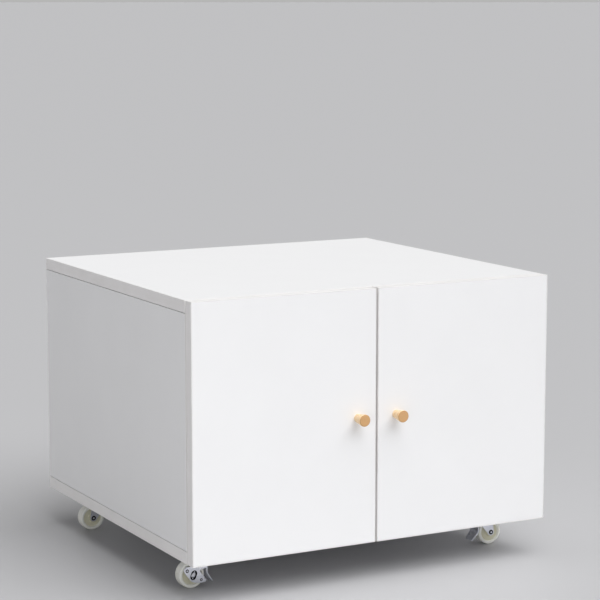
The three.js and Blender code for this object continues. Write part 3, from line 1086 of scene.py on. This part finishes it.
@dataclass
class Knob:
    """A turned beech knob and the screw that holds it from inside the door.

    Attributes:
        side: "left" or "right".
        waist: radius where the knob meets the door.
        rim: radius of its face.
        hollow: how far its side curves in.
    """

    side: str
    waist: float = 6.3
    rim: float = 9.0
    hollow: float = 0.35

    def build(self) -> None:
        """Builds the knob and its screw."""
        body = f"{self.side}_door"
        low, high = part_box(f"{self.side}_knob")
        centre = (low + high) / 2
        length = (high.y - low.y) / MM
        frame = Matrix.Translation((centre.x, high.y, centre.z)) @ Matrix.Rotation(math.radians(90), 4, "X")
        grain_turn = Matrix.Rotation(0.9 if self.side == "left" else 2.3, 4, "Z")
        knob = lathe(f"{self.side}_turned_knob", self.profile(length), frame @ grain_turn, 72)
        Settling(body, "knob_beech", BEECH).settle(knob, f"{self.side}_knob")
        self.build_screw(body)

    def profile(self, length: float) -> Outline:
        """The knob's side and face.

        Args:
            length: from the door to the face, in millimetres.

        Returns:
            Radius and height points, from the axis at the door to the axis at the face.
        """
        straight = length - 4.6
        side = [
            (
                self.waist + (self.rim - 0.15 - self.waist) * t - self.hollow * math.sin(math.pi * t),
                straight * t,
            )
            for t in (i / 12 for i in range(13))
        ]
        shoulder = [
            (self.rim - 0.28, straight + 0.25),
            (self.rim - 0.28, straight + 0.5),
            (self.rim - 0.05, straight + 0.8),
        ]
        edge = arc((self.rim - 1.3, length - 1.3), 1.3, 0, 80, 6)
        face = [(self.rim * 0.6, length - 0.02), (0, length)]
        return [(0, 0), (self.waist - 0.3, 0), (self.waist - 0.05, 0.3), *side[1:], *shoulder, *edge, *face]

    def build_screw(self, body: str) -> None:
        """Builds the pan-headed screw on the door's inner face.

        Args:
            body: the door's body.
        """
        low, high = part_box(f"{self.side}_knob_screw")
        centre = (low + high) / 2
        door_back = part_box(f"{self.side}_door")[1].y
        frame = Matrix.Translation((centre.x, door_back, centre.z)) @ Matrix.Rotation(
            math.radians(-90), 4, "X"
        )
        screw = cross_head_screw(f"{self.side}_knob_fixing", frame, 4.0, 2.4, 2.0, 28.0)
        Settling(body, "screw_steel", ZINC).settle(screw, f"{self.side}_knob_screw")


def cross_head_screw(
    name: str,
    frame: Matrix,
    head_radius: float,
    head_height: float,
    shank_radius: float,
    shank: float,
) -> bpy.types.Object:
    """A pan-headed screw with a cross recess, its head standing along the frame's +Z.

    Args:
        name: the piece's name.
        frame: origin under the head, in metres.
        head_radius: radius of the head.
        head_height: height of the head.
        shank_radius: radius of the shank.
        shank: its length.

    Returns:
        The screw.
    """
    dome = [
        (head_radius * math.cos(a), head_height * (0.25 + 0.75 * math.sin(a)))
        for a in (math.radians(10 * i) for i in range(9))
    ]
    profile = [
        (0, -shank),
        (shank_radius * 0.6, -shank),
        (shank_radius, -shank + 1),
        (shank_radius, 0),
        (head_radius, 0),
        *dome,
        (0, head_height),
    ]
    screw = lathe(name, profile, frame, 28)
    width = head_radius * 0.13
    reach = head_radius * 0.45
    bars = [
        sheet_metal(
            "bar",
            [slot((-reach, 0), (reach, 0), width, 4)],
            head_height * 0.35,
            head_height + 1,
            frame @ Matrix.Rotation(turn, 4, "Z"),
            0.03,
        )
        for turn in (0.3, 0.3 + math.pi / 2)
    ]
    return shape_with(screw, Join.CUT, *bars)


@dataclass
class Door:
    """One edged door with its cup bores, and its knob.

    Attributes:
        side: "left" or "right".
        bore_play: play of the hinge cups in their bores.
    """

    side: str
    bore_play: float = 0.3

    def build(self) -> None:
        """Builds the door, its bands and its knob."""
        node = f"{self.side}_door"
        settling = Settling(node, "door_board", MELAMINE)
        slab = EdgedBoard(node, settling, (Face.TOP, Face.BOTTOM, Face.LEFT, Face.RIGHT), arris=0.45).build()
        bores = [self.cup_bore(level) for level in ("lower", "upper")]
        settling.settle(shape_with(slab, Join.CUT, *bores), node)
        Knob(self.side).build()

    def cup_bore(self, level: str) -> bpy.types.Object:
        """The hole that a hinge cup sits in.

        Args:
            level: "lower" or "upper".

        Returns:
            A plug of the hole's size.
        """
        low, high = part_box(f"{self.side}_{level}_hinge_cup")
        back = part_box(f"{self.side}_door")[1].y
        radius = (high.x - low.x) / 2 / MM + self.bore_play
        depth = (back - low.y) / MM + self.bore_play
        frame = Matrix.Translation(((low.x + high.x) / 2, back, (low.z + high.z) / 2)) @ Matrix.Rotation(
            math.radians(-90), 4, "X"
        )
        return lathe("bore", [(0, -depth), (radius, -depth), (radius, 2), (0, 2)], frame, 48)


# ---------------------------------------------------------------- hinges


@dataclass
class CupHinge:
    """A concealed cup hinge: its five pressed pieces with rounded edges, and its screws.

    Attributes:
        side: "left" or "right".
        level: "lower" or "upper".
        edge: rounding on the pressed edges.
        wing_screw: distance of the plate's screws from the middle.
        cup_screw: distance of the cup's screws from the middle.
        wing_thickness: thickness of the mounting plate's wings.
        screw_setback: distance of the plate's screws from the board's front edge.
        clamp_reach: height of the clamping screw above the board.
        clamp_setback: distance of the clamping screw from the arm's rear end.
    """

    side: str
    level: str
    edge: float = 0.18
    wing_screw: float = 16.0
    wing_thickness: float = 2.2
    screw_setback: float = 37.0
    clamp_reach: float = 8.2
    clamp_setback: float = 9.0
    cup_screw: float = 22.0

    def build(self, nodes: dict[str, bpy.types.Object]) -> None:
        """Builds the pressed pieces and adds the screws.

        Args:
            nodes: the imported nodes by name.
        """
        name = f"{self.side}_{self.level}_hinge"
        bodies = {
            "mounting_plate": "carcass",
            "arm": "carcass",
            "outer_link": f"{self.side}_outer_links",
            "inner_link": f"{self.side}_inner_links",
            "cup": f"{self.side}_door",
        }
        for part, body in bodies.items():
            node = nodes[f"{name}_{part}"]
            bare = node.data.copy()
            work = bmesh.new()
            work.from_mesh(bare)
            bmesh.ops.remove_doubles(work, verts=work.verts, dist=1e-6)
            bmesh.ops.dissolve_limit(work, angle_limit=math.radians(1), verts=work.verts, edges=work.edges)
            work.to_mesh(bare)
            work.free()
            pressed = wrap(f"{name}_pressed_{part}", bare, node.matrix_world.copy())
            Settling(body, "hinge_nickel", NICKEL).settle(soften(pressed, self.edge, 2, 50.0), node.name)
        sign = -1 if self.side == "left" else 1
        self.build_plate_screws(name, sign)
        self.build_cup_screws(name)

    def build_plate_screws(self, name: str, sign: int) -> None:
        """Builds the two screws through the mounting plate's wings and the arm's clamping screw.

        Args:
            name: the hinge's name.
            sign: the side's sign of X.
        """
        low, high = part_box(f"{name}_mounting_plate")
        inwards = Matrix.Rotation(math.radians(-90 * sign), 4, "Y")
        wing_face = (low.x + self.wing_thickness * MM) if sign < 0 else (high.x - self.wing_thickness * MM)
        middle_z = (low.z + high.z) / 2
        screw_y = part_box("left_side_panel")[0].y + self.screw_setback * MM
        settling = Settling("carcass", "screw_steel", NICKEL)
        for level, offset in (("lower", -self.wing_screw), ("upper", self.wing_screw)):
            frame = Matrix.Translation((wing_face, screw_y, middle_z + offset * MM)) @ inwards
            settling.settle(cross_head_screw(f"{name}_plate_{level}_screw", frame, 4.0, 1.8, 2.0, 2.0))
        arm_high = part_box(f"{name}_arm")[1]
        clamp_x = (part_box("left_side_panel")[1].x + self.clamp_reach * MM) * (1 if sign < 0 else -1)
        frame = Matrix.Translation((clamp_x, arm_high.y - self.clamp_setback * MM, middle_z)) @ inwards
        settling.settle(cross_head_screw(f"{name}_clamp_screw", frame, 4.2, 1.6, 1.8, 1.0))

    def build_cup_screws(self, name: str) -> None:
        """Builds the two screws through the cup's flange.

        Args:
            name: the hinge's name.
        """
        low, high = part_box(f"{name}_cup")
        centre_x, centre_z = (low.x + high.x) / 2, (low.z + high.z) / 2
        settling = Settling(f"{self.side}_door", "screw_steel", NICKEL)
        for level, offset in (("lower", -self.cup_screw), ("upper", self.cup_screw)):
            frame = Matrix.Translation((centre_x, high.y, centre_z + offset * MM)) @ Matrix.Rotation(
                math.radians(-90), 4, "X"
            )
            settling.settle(cross_head_screw(f"{name}_cup_{level}_screw", frame, 3.2, 0.8, 1.6, 1.0))


# ---------------------------------------------------------------- casters


@dataclass
class Caster:
    """A swivel caster, in a frame whose X runs inwards from its axle and whose Z is up from the floor.

    Attributes:
        corner: such as "front_left".
        swivel: joint place of the swivel axis.
        axle: joint place of the wheel's axle.
        has_brake: whether it carries a brake pedal.
        pressed_axle: where the axle comes to stand in the pedal's slot when the pedal is pressed.
        pedal_stud: place of the stud on the pedal's cheek, seen from the axle.
    """

    corner: str
    swivel: Vector
    axle: Vector
    has_brake: bool
    plate_size: float = 42.0
    plate_thickness: float = 2.0
    height: float = 58.0
    leg_inside: float = 9.8
    leg_thickness: float = 2.0
    crown_top: float = 47.4
    pin_radius: float = 1.6
    braked_pin_radius: float = 2.9
    pedal_pivot: Point = (-10.0, 8.3)
    pedal_thickness: float = 1.5
    axle_slot: tuple[Point, Point] = ((-0.4, -1.6), (1.4, 3.2))
    axle_slot_radius: float = 4.8
    pressed_axle: Point = (1.06, 1.47)
    pedal_stud: Point = (12.6, -7.4)

    def __post_init__(self) -> None:
        """Works out the caster's frame and its trail."""
        turn = 0.0 if self.axle.x < self.swivel.x else math.pi
        self.at = Matrix.Translation((self.axle.x, self.axle.y, 0)) @ Matrix.Rotation(turn, 4, "Z")
        self.trail = abs(self.swivel.x - self.axle.x) / MM
        self.wheel_radius = self.axle.z / MM
        self.leg_outside = self.leg_inside + self.leg_thickness
        self.on_swivel = self.at @ Matrix.Translation((self.trail * MM, 0, 0))
        self.upright = self.at @ Matrix.Translation((0, 0, self.axle.z)) @ Matrix.Rotation(
            math.radians(90), 4, "X"
        )

    def build(self) -> None:
        """Builds every piece of the caster."""
        self.build_plate()
        self.build_race()
        self.build_fork()
        self.build_pins()
        self.build_wheel()
        if self.has_brake:
            self.build_pedal()

    def build_plate(self) -> None:
        """Builds the slotted top plate, its pressed dish and its four wood screws."""
        fixed = Settling("carcass", "caster_zinc", ZINC)
        half = self.plate_size / 2
        corners = [(-half, -half), (half, -half), (half, half), (-half, half)]
        hole_at = half - 6
        holes = [(sx * hole_at, sy * hole_at) for sx in (-1, 1) for sy in (-1, 1)]
        slots = [slot((x - 1, y), (x + 1, y), 2.2) for x, y in holes]
        low = self.height - self.plate_thickness
        outline = fillet(corners, 4.0)
        plate = sheet_metal(
            f"{self.corner}_top_plate",
            [outline, *slots, circle((0, 0), 4.4)],
            low,
            self.height,
            self.on_swivel,
            0.35,
        )
        fixed.settle(plate, f"{self.corner}_caster_plate")
        wall = fillet([(14.2, low - 0.6), (12.6, 53.9), (10.2, 53.6), (4.4, 53.6)], 1.2, closed=False)
        dish = [(4.4, low + 0.3), (14.9, low + 0.3), (14.6, low - 0.2), *wall]
        fixed.settle(lathe(f"{self.corner}_plate_dish", dish, self.on_swivel))
        for i, (x, y) in enumerate(holes):
            frame = self.on_swivel @ Matrix.Translation(
                (x * MM, y * MM, low * MM)
            ) @ Matrix.Rotation(math.pi, 4, "X")
            screw = cross_head_screw(f"{self.corner}_plate_screw_{i + 1}", frame, 3.9, 2.1, 1.9, 1.8)
            Settling("carcass", "screw_steel", ZINC).settle(screw)

    def build_race(self) -> None:
        """Builds the lower race with its ring of balls."""
        fixed = Settling("carcass", "caster_zinc", ZINC)
        ring = [
            (4.6, 51.1),
            (13.6, 51.1),
            (15.2, 51.5),
            (15.5, 52.1),
            (15.1, 52.4),
            (13.9, 52.1),
            (12.2, 51.7),
            (4.6, 51.7),
        ]
        race = lathe(f"{self.corner}_lower_race", ring, self.on_swivel)
        fixed.settle(race, f"{self.corner}_bearing_race")
        work = bmesh.new()
        balls = 20
        for i in range(balls):
            turn = 2 * math.pi * i / balls
            middle = Matrix.Translation((12.9 * math.cos(turn), 12.9 * math.sin(turn), 52.75))
            bmesh.ops.create_icosphere(work, subdivisions=2, radius=0.95, matrix=middle)
        fixed.settle(to_object(f"{self.corner}_race_balls", work, self.on_swivel))

    def build_fork(self) -> None:
        """Builds the fork: a strip bent into two legs, cut to their taper, with a raised crown."""
        inside, outside = self.leg_inside, self.leg_outside
        middle = (outside + inside) / 2
        bend = [(-middle, 8), (-middle, self.crown_top - 1.1), (middle, self.crown_top - 1.1), (middle, 8)]
        strip = ribbon(fillet(bend, 4.0, 8, closed=False), self.leg_thickness)
        along_axle = self.at @ Matrix.Rotation(math.radians(90), 4, "X") @ Matrix.Rotation(
            math.radians(90), 4, "Y"
        )
        fork = sheet_metal(f"{self.corner}_pressed_fork", [strip], -18, 30, along_axle, 0.05)
        taper = [
            (-1.1, 30.0),
            (26.4, 30.0),
            (26.4, 24.0),
            (4.9, -2.4),
            *arc((0, 0), 5.5, -28, -172, 14),
            (-5.2, 2),
        ]
        fork = shape_with(fork, Join.KEEP, sheet_metal("taper", [taper], -20, 20, self.upright, 0.05))
        crown = [
            (4.4, self.crown_top - 2.2),
            (12.0, self.crown_top - 2.2),
            (14.6, self.crown_top - 1.0),
            (15.4, self.crown_top),
            (14.9, self.crown_top + 0.9),
            (13.1, self.crown_top + 2.8),
            (11.8, self.crown_top + 3.2),
            (4.4, self.crown_top + 3.2),
        ]
        additions = [lathe("crown", crown, self.on_swivel, 56)]
        if self.has_brake:
            lug = slot(self.pedal_pivot, (0, 8), 4.0)
            additions.append(sheet_metal("lug", [lug], inside, outside, self.upright, 0.05))
        fork = shape_with(fork, Join.ADD, *additions)
        bore = lathe("bore", [(0, -20), (3.0, -20), (3.0, 20), (0, 20)], self.upright, 28)
        fork = soften(shape_with(fork, Join.CUT, bore), 0.3)
        Settling(f"{self.corner}_fork", "caster_zinc", ZINC).settle(fork, f"{self.corner}_fork")

    def build_pins(self) -> None:
        """Builds the kingpin rivet, the axle with its dark collars, and the pedal's pivot with its dark
        collar; the dark collars are painted shadow.
        """
        low_head = [(0, 42.7), (2.5, 42.9), (4.6, 43.5), (6.0, 44.6), (6.1, 44.9), (4.1, 44.9)]
        kingpin = lathe(
            f"{self.corner}_kingpin_rivet", [*low_head, (4.1, 55.9), (0, 55.9)], self.on_swivel, 36
        )
        Settling("carcass", "caster_zinc", ZINC).settle(kingpin, f"{self.corner}_kingpin")
        on_fork = Settling(f"{self.corner}_fork", "caster_zinc", ZINC)
        dark = Settling(f"{self.corner}_fork", "caster_zinc", DARK_STEEL)
        plain_end = self.axle_end(self.pin_radius)
        near_end = self.axle_end(self.braked_pin_radius) if self.has_brake else plain_end
        axle = [*((r, -h) for r, h in plain_end[::-1]), *near_end]
        on_fork.settle(lathe(f"{self.corner}_axle_rivet", axle, self.upright, 32), f"{self.corner}_axle")
        # Painted shadow: dark rings round the axle's heads stand in for the shadow gap round them.
        far_shadow_collar = [(r, -h) for r, h in self.collar(self.pin_radius)]
        dark.settle(lathe(f"{self.corner}_far_axle_shadow_collar", far_shadow_collar, self.upright, 36))
        if not self.has_brake:
            near_shadow_collar = self.collar(self.pin_radius)
            dark.settle(lathe(f"{self.corner}_near_axle_shadow_collar", near_shadow_collar, self.upright, 36))
            return
        face = self.leg_outside
        x, z = self.pedal_pivot
        frame = self.upright @ Matrix.Translation((x * MM, z * MM, 0))
        top = face + self.pedal_thickness + 0.45
        on_fork.settle(lathe(f"{self.corner}_pedal_pivot", self.rivet_head(1.5, top), frame, 24))
        # Painted shadow: a dark ring round the pivot's head stands in for the shadow gap round it.
        dark.settle(
            lathe(
                f"{self.corner}_pedal_pivot_shadow_collar",
                [(1.55, top - 0.3), (2.7, top - 0.3), (2.6, top), (1.55, top + 0.1)],
                frame,
                24,
            ),
        )

    def axle_end(self, radius: float) -> Outline:
        """One end of the axle, from the fork outwards.

        Args:
            radius: radius of its bright head.

        Returns:
            Radius and height points that end on the axis.
        """
        face = self.leg_outside
        return [
            (2.5, face - 0.6),
            (radius, face),
            (radius, face + 1.1),
            (radius * 0.8, face + 1.45),
            (0, face + 1.6),
        ]

    def collar(self, pin_radius: float) -> Outline:
        """A dark ring round one end of the axle's head: painted shadow that stands in for the gap round the
        head.

        Args:
            pin_radius: radius of the axle's head inside it.

        Returns:
            Its closed profile of radius and height points.
        """
        face = self.leg_outside
        inner = pin_radius + 0.05
        return [
            (inner, face + 0.05),
            (3.7, face + 0.05),
            (3.8, face + 0.3),
            (3.6, face + 0.75),
            (inner, face + 0.95),
        ]

    @staticmethod
    def rivet_head(radius: float, top: float) -> Outline:
        """A small domed rivet that ends at a given height, as radius and height points."""
        return [
            (0, top - 2),
            (radius * 0.8, top - 2),
            (radius * 0.8, top - 0.1),
            (radius, top),
            (radius * 0.8, top + 0.4),
            (0, top + 0.55),
        ]

    def build_wheel(self) -> None:
        """Builds the wheel: a rounded tread, dished webs and a hub."""
        half = 8.5
        radius = self.wheel_radius
        side = [
            (2.9, half + 0.5),
            (6.0, half + 0.5),
            (6.6, half + 0.1),
            (7.2, half - 2.1),
            (8.0, half - 2.6),
            (14.2, half - 2.6),
            (15.0, half - 2.2),
            (15.7, half - 0.35),
            (16.3, half),
            (17.6, half),
        ]
        shoulder = [
            (radius - 2.2 + 2.2 * math.sin(a), half - 2.2 + 2.2 * math.cos(a))
            for a in (math.radians(15 * i) for i in range(1, 6))
        ]
        half_profile = [*side, *shoulder, (radius, half - 2.4), (radius, 0.35), (radius - 0.12, 0.0)]
        mirrored = [(r, -h) for r, h in half_profile[:-1]][::-1]
        wheel = lathe(f"{self.corner}_moulded_wheel", [*half_profile, *mirrored], self.upright, 96)
        Settling(f"{self.corner}_wheel", "wheel_nylon", NYLON).settle(wheel, f"{self.corner}_wheel")

    def build_pedal(self) -> None:
        """Builds the brake pedal: a cheek by the fork, a paddle across the wheel, a tongue over its tread."""
        near = self.leg_outside + 0.3
        far = near + self.pedal_thickness
        cheek_corners = [
            (-14.0, 12.0),
            (-11.5, 14.2),
            (22.6, 14.2),
            (22.6, 9.4),
            (8.6, 8.0),
            (20.6, -8.4),
            (19.6, -11.0),
            (11.5, -12.2),
            (-2.5, -9.6),
            (-14.6, 6.4),
        ]
        cheek_outline = fillet(cheek_corners, 4.0, 6)
        axle_slot = slot(*self.axle_slot, self.axle_slot_radius)
        pivot_hole = circle(self.pedal_pivot, 1.9, 20)
        cheek = sheet_metal(
            f"{self.corner}_pedal", [cheek_outline, axle_slot, pivot_hole], near, far, self.upright, 0.1
        )
        paddle_path = fillet([(21.9, 13.4), (21.9, 1.5), (31.5, -12.0)], 2.5, 6, closed=False)
        tongue_path = fillet([(15.8, 17.2), (21.4, 13.0), (21.9, 9.0)], 3.0, 5, closed=False)
        paddle = sheet_metal(
            "paddle", [ribbon(paddle_path, self.pedal_thickness)], -9, far, self.upright, 0.1
        )
        plan = fillet([(15, 9.2), (23, 9.2), (32.4, 4.5), (32.4, 1 - far), (23, -far), (15, -far)], 2.0, 5)
        paddle = shape_with(paddle, Join.KEEP, sheet_metal("plan", [plan], -5, 40, self.at, 0.05))
        tongue = sheet_metal(
            "tongue", [ribbon(tongue_path, self.pedal_thickness)], -7.5, 7.5, self.upright, 0.1
        )
        pedal = shape_with(cheek, Join.ADD, paddle, tongue)
        Settling(f"{self.corner}_brake_pedal", "caster_zinc", ZINC).settle(
            soften(pedal, 0.25), f"{self.corner}_brake_pedal"
        )
        x, z = self.pedal_stud
        frame = self.upright @ Matrix.Translation((x * MM, z * MM, 0))
        on_pedal = Settling(f"{self.corner}_brake_pedal", "caster_zinc", ZINC)
        on_pedal.settle(lathe(f"{self.corner}_pedal_stud", self.rivet_head(1.1, far + 0.1), frame, 24))
        # Painted shadow: a dark ring round the stud's head stands in for the shadow gap round it.
        collar = [(1.1, far - 0.1), (2.1, far - 0.1), (2.0, far + 0.2), (1.1, far + 0.3)]
        ring = lathe(f"{self.corner}_pedal_stud_shadow_collar", collar, frame, 24)
        dark = Settling(f"{self.corner}_brake_pedal", "caster_zinc", DARK_STEEL)
        dark.settle(ring)
        # Painted shadow: a dark plate in the axle slot stands in for the shade inside the slot.
        hole = slot((0, 0), self.pressed_axle, self.braked_pin_radius + 0.2)
        slot_shadow_outlines = [slot(*self.axle_slot, self.axle_slot_radius + 0.1), hole]
        dark.settle(
            sheet_metal(f"{self.corner}_axle_slot_shadow_plate", slot_shadow_outlines, near + 0.1, near + 0.7, self.upright, 0.1)
        )
        for name, (x, z), radius in (("upper", (2.2, 5.5), 0.85), ("lower", (-0.9, -4.0), 0.8)):
            head = [
                (0, near + 0.3),
                (radius, near + 0.3),
                (radius, near + 1.0),
                (radius * 0.7, near + 1.2),
                (0, near + 1.3),
            ]
            frame = self.upright @ Matrix.Translation((x * MM, z * MM, 0))
            on_pedal.settle(lathe(f"{self.corner}_{name}_lock_rivet", head, frame, 20))


# ---------------------------------------------------------------- studio


@dataclass
class Studio:
    """A plain pale floor, soft light and the camera.

    Attributes:
        azimuth: direction the camera looks from, in degrees, 0 along +Y.
        pitch: how far it looks down, in degrees.
        lens: focal length on the camera's 36 mm sensor.
        stand_off: camera place from the front left lower corner of the doors, in box heights.
        horizon_glow: strength of the surrounding light near the floor.
        zenith_glow: its strength overhead.
        key_energy: strength of the soft sun-like key light.
        key_angle: width of that light in the sky, in degrees.
        key_direction: where it shines from.
        fill_energy: power of the low fill light, in watts.
        fill_size: width of the fill light, in metres.
        fill_place: where the fill light stands, in metres.
        fill_target: the point that it faces, in metres.
        floor_radius: radius of the floor, in metres.
    """

    azimuth: float = -28.19
    pitch: float = 8.427
    lens: float = 122.4
    stand_off: tuple[float, float, float] = (-3.126, -6.676, 2.099)
    horizon_glow: float = 0.54
    zenith_glow: float = 0.25
    key_energy: float = 3.02
    key_angle: float = 65.0
    key_direction: tuple[float, float, float] = (0.2, -0.43, 0.88)
    fill_energy: float = 10.0
    fill_size: float = 1.1
    fill_place: tuple[float, float, float] = (-1.7, -2.2, 0.22)
    fill_target: tuple[float, float, float] = (-0.1, -0.2, 0.03)
    floor_radius: float = 400.0

    def build(self) -> None:
        """Builds the floor, the lights and the camera."""
        self.build_floor()
        self.build_lights()
        self.build_camera()

    def build_floor(self) -> None:
        """Builds a wide flat floor at the height that the wheels stand on."""
        work = bmesh.new()
        bmesh.ops.create_circle(work, cap_ends=True, segments=96, radius=self.floor_radius / MM)
        floor = to_object("studio_floor", work)
        floor.data.materials.append(FLOOR.material())

    def build_lights(self) -> None:
        """Builds an even surrounding light, a broad soft key light and a low fill from the front left."""
        scene = bpy.context.scene
        scene.view_settings.view_transform = "Standard"
        world = bpy.data.worlds.new("studio")
        world.use_nodes = True
        world.node_tree.nodes.clear()
        place = add_node(world.node_tree, "ShaderNodeTexCoord")
        height = add_node(
            world.node_tree, "ShaderNodeSeparateXYZ", links={"Vector": place.outputs["Generated"]}
        )
        strength = Finish.span(
            world.node_tree, height.outputs["Z"], self.horizon_glow, self.zenith_glow, 0.0, 0.75
        )
        glow = add_node(
            world.node_tree,
            "ShaderNodeBackground",
            values={"Color": linear("F0F0F0")},
            links={"Strength": strength},
        )
        add_node(world.node_tree, "ShaderNodeOutputWorld", links={"Surface": glow.outputs[0]})
        scene.world = world
        key = bpy.data.lights.new("key", "SUN")
        key.angle = math.radians(self.key_angle)
        key.energy = self.key_energy
        self.aim(key, Vector(self.key_direction) * 5, Vector((0, 0, 0)))
        fill = bpy.data.lights.new("low_fill", "AREA")
        fill.size = self.fill_size
        fill.energy = self.fill_energy
        self.aim(fill, Vector(self.fill_place), Vector(self.fill_target))

    @staticmethod
    def aim(light: bpy.types.Light, place: Vector, target: Vector) -> None:
        """Puts a light in the scene, pointing at a target.

        Args:
            light: the light.
            place: where it stands, in metres.
            target: the point that it faces, in metres.
        """
        lamp = bpy.data.objects.new(light.name, light)
        bpy.context.scene.collection.objects.link(lamp)
        lamp.location = place
        lamp.rotation_euler = (target - place).to_track_quat("-Z", "Y").to_euler()
        lamp.visible_camera = False

    def build_camera(self) -> None:
        """Builds the camera, placed from the doors' front left lower corner."""
        low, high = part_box("left_door")
        unit = high.z - low.z
        lens = bpy.data.cameras.new("camera")
        lens.lens = self.lens
        lens.sensor_width = 36.0
        camera = bpy.data.objects.new("camera", lens)
        bpy.context.scene.collection.objects.link(camera)
        camera.location = low + Vector(self.stand_off) * unit
        camera.rotation_euler = (math.radians(90 - self.pitch), 0, math.radians(self.azimuth))
        bpy.context.scene.camera = camera


# ---------------------------------------------------------------- the stand


def joint_place(joints: Iterable[dict], name: str) -> Vector:
    """Where a joint's axis passes, in metres.

    Args:
        joints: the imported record's joints.
        name: the joint's name.

    Returns:
        The joint's place.
    """
    return next(Vector(joint["pos_m"]) for joint in joints if joint["name"] == name)


def main() -> None:
    """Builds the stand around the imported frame."""
    logging.basicConfig(level=logging.INFO, format="%(name)s: %(message)s")
    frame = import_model()
    Studio().build()
    Carcass().build()
    CabinetFittings().build()
    for side in ("left", "right"):
        Door(side).build()
        for level in ("lower", "upper"):
            CupHinge(side, level).build(frame["nodes"])
    for corner in ("front_left", "front_right", "rear_left", "rear_right"):
        swivel = joint_place(frame["joints"], f"{corner}_caster_swivel")
        axle = joint_place(frame["joints"], f"{corner}_wheel_roll")
        Caster(corner, swivel, axle, corner.startswith("front")).build()
    bpy.context.view_layer.update()


if __name__ == "__main__":
    main()
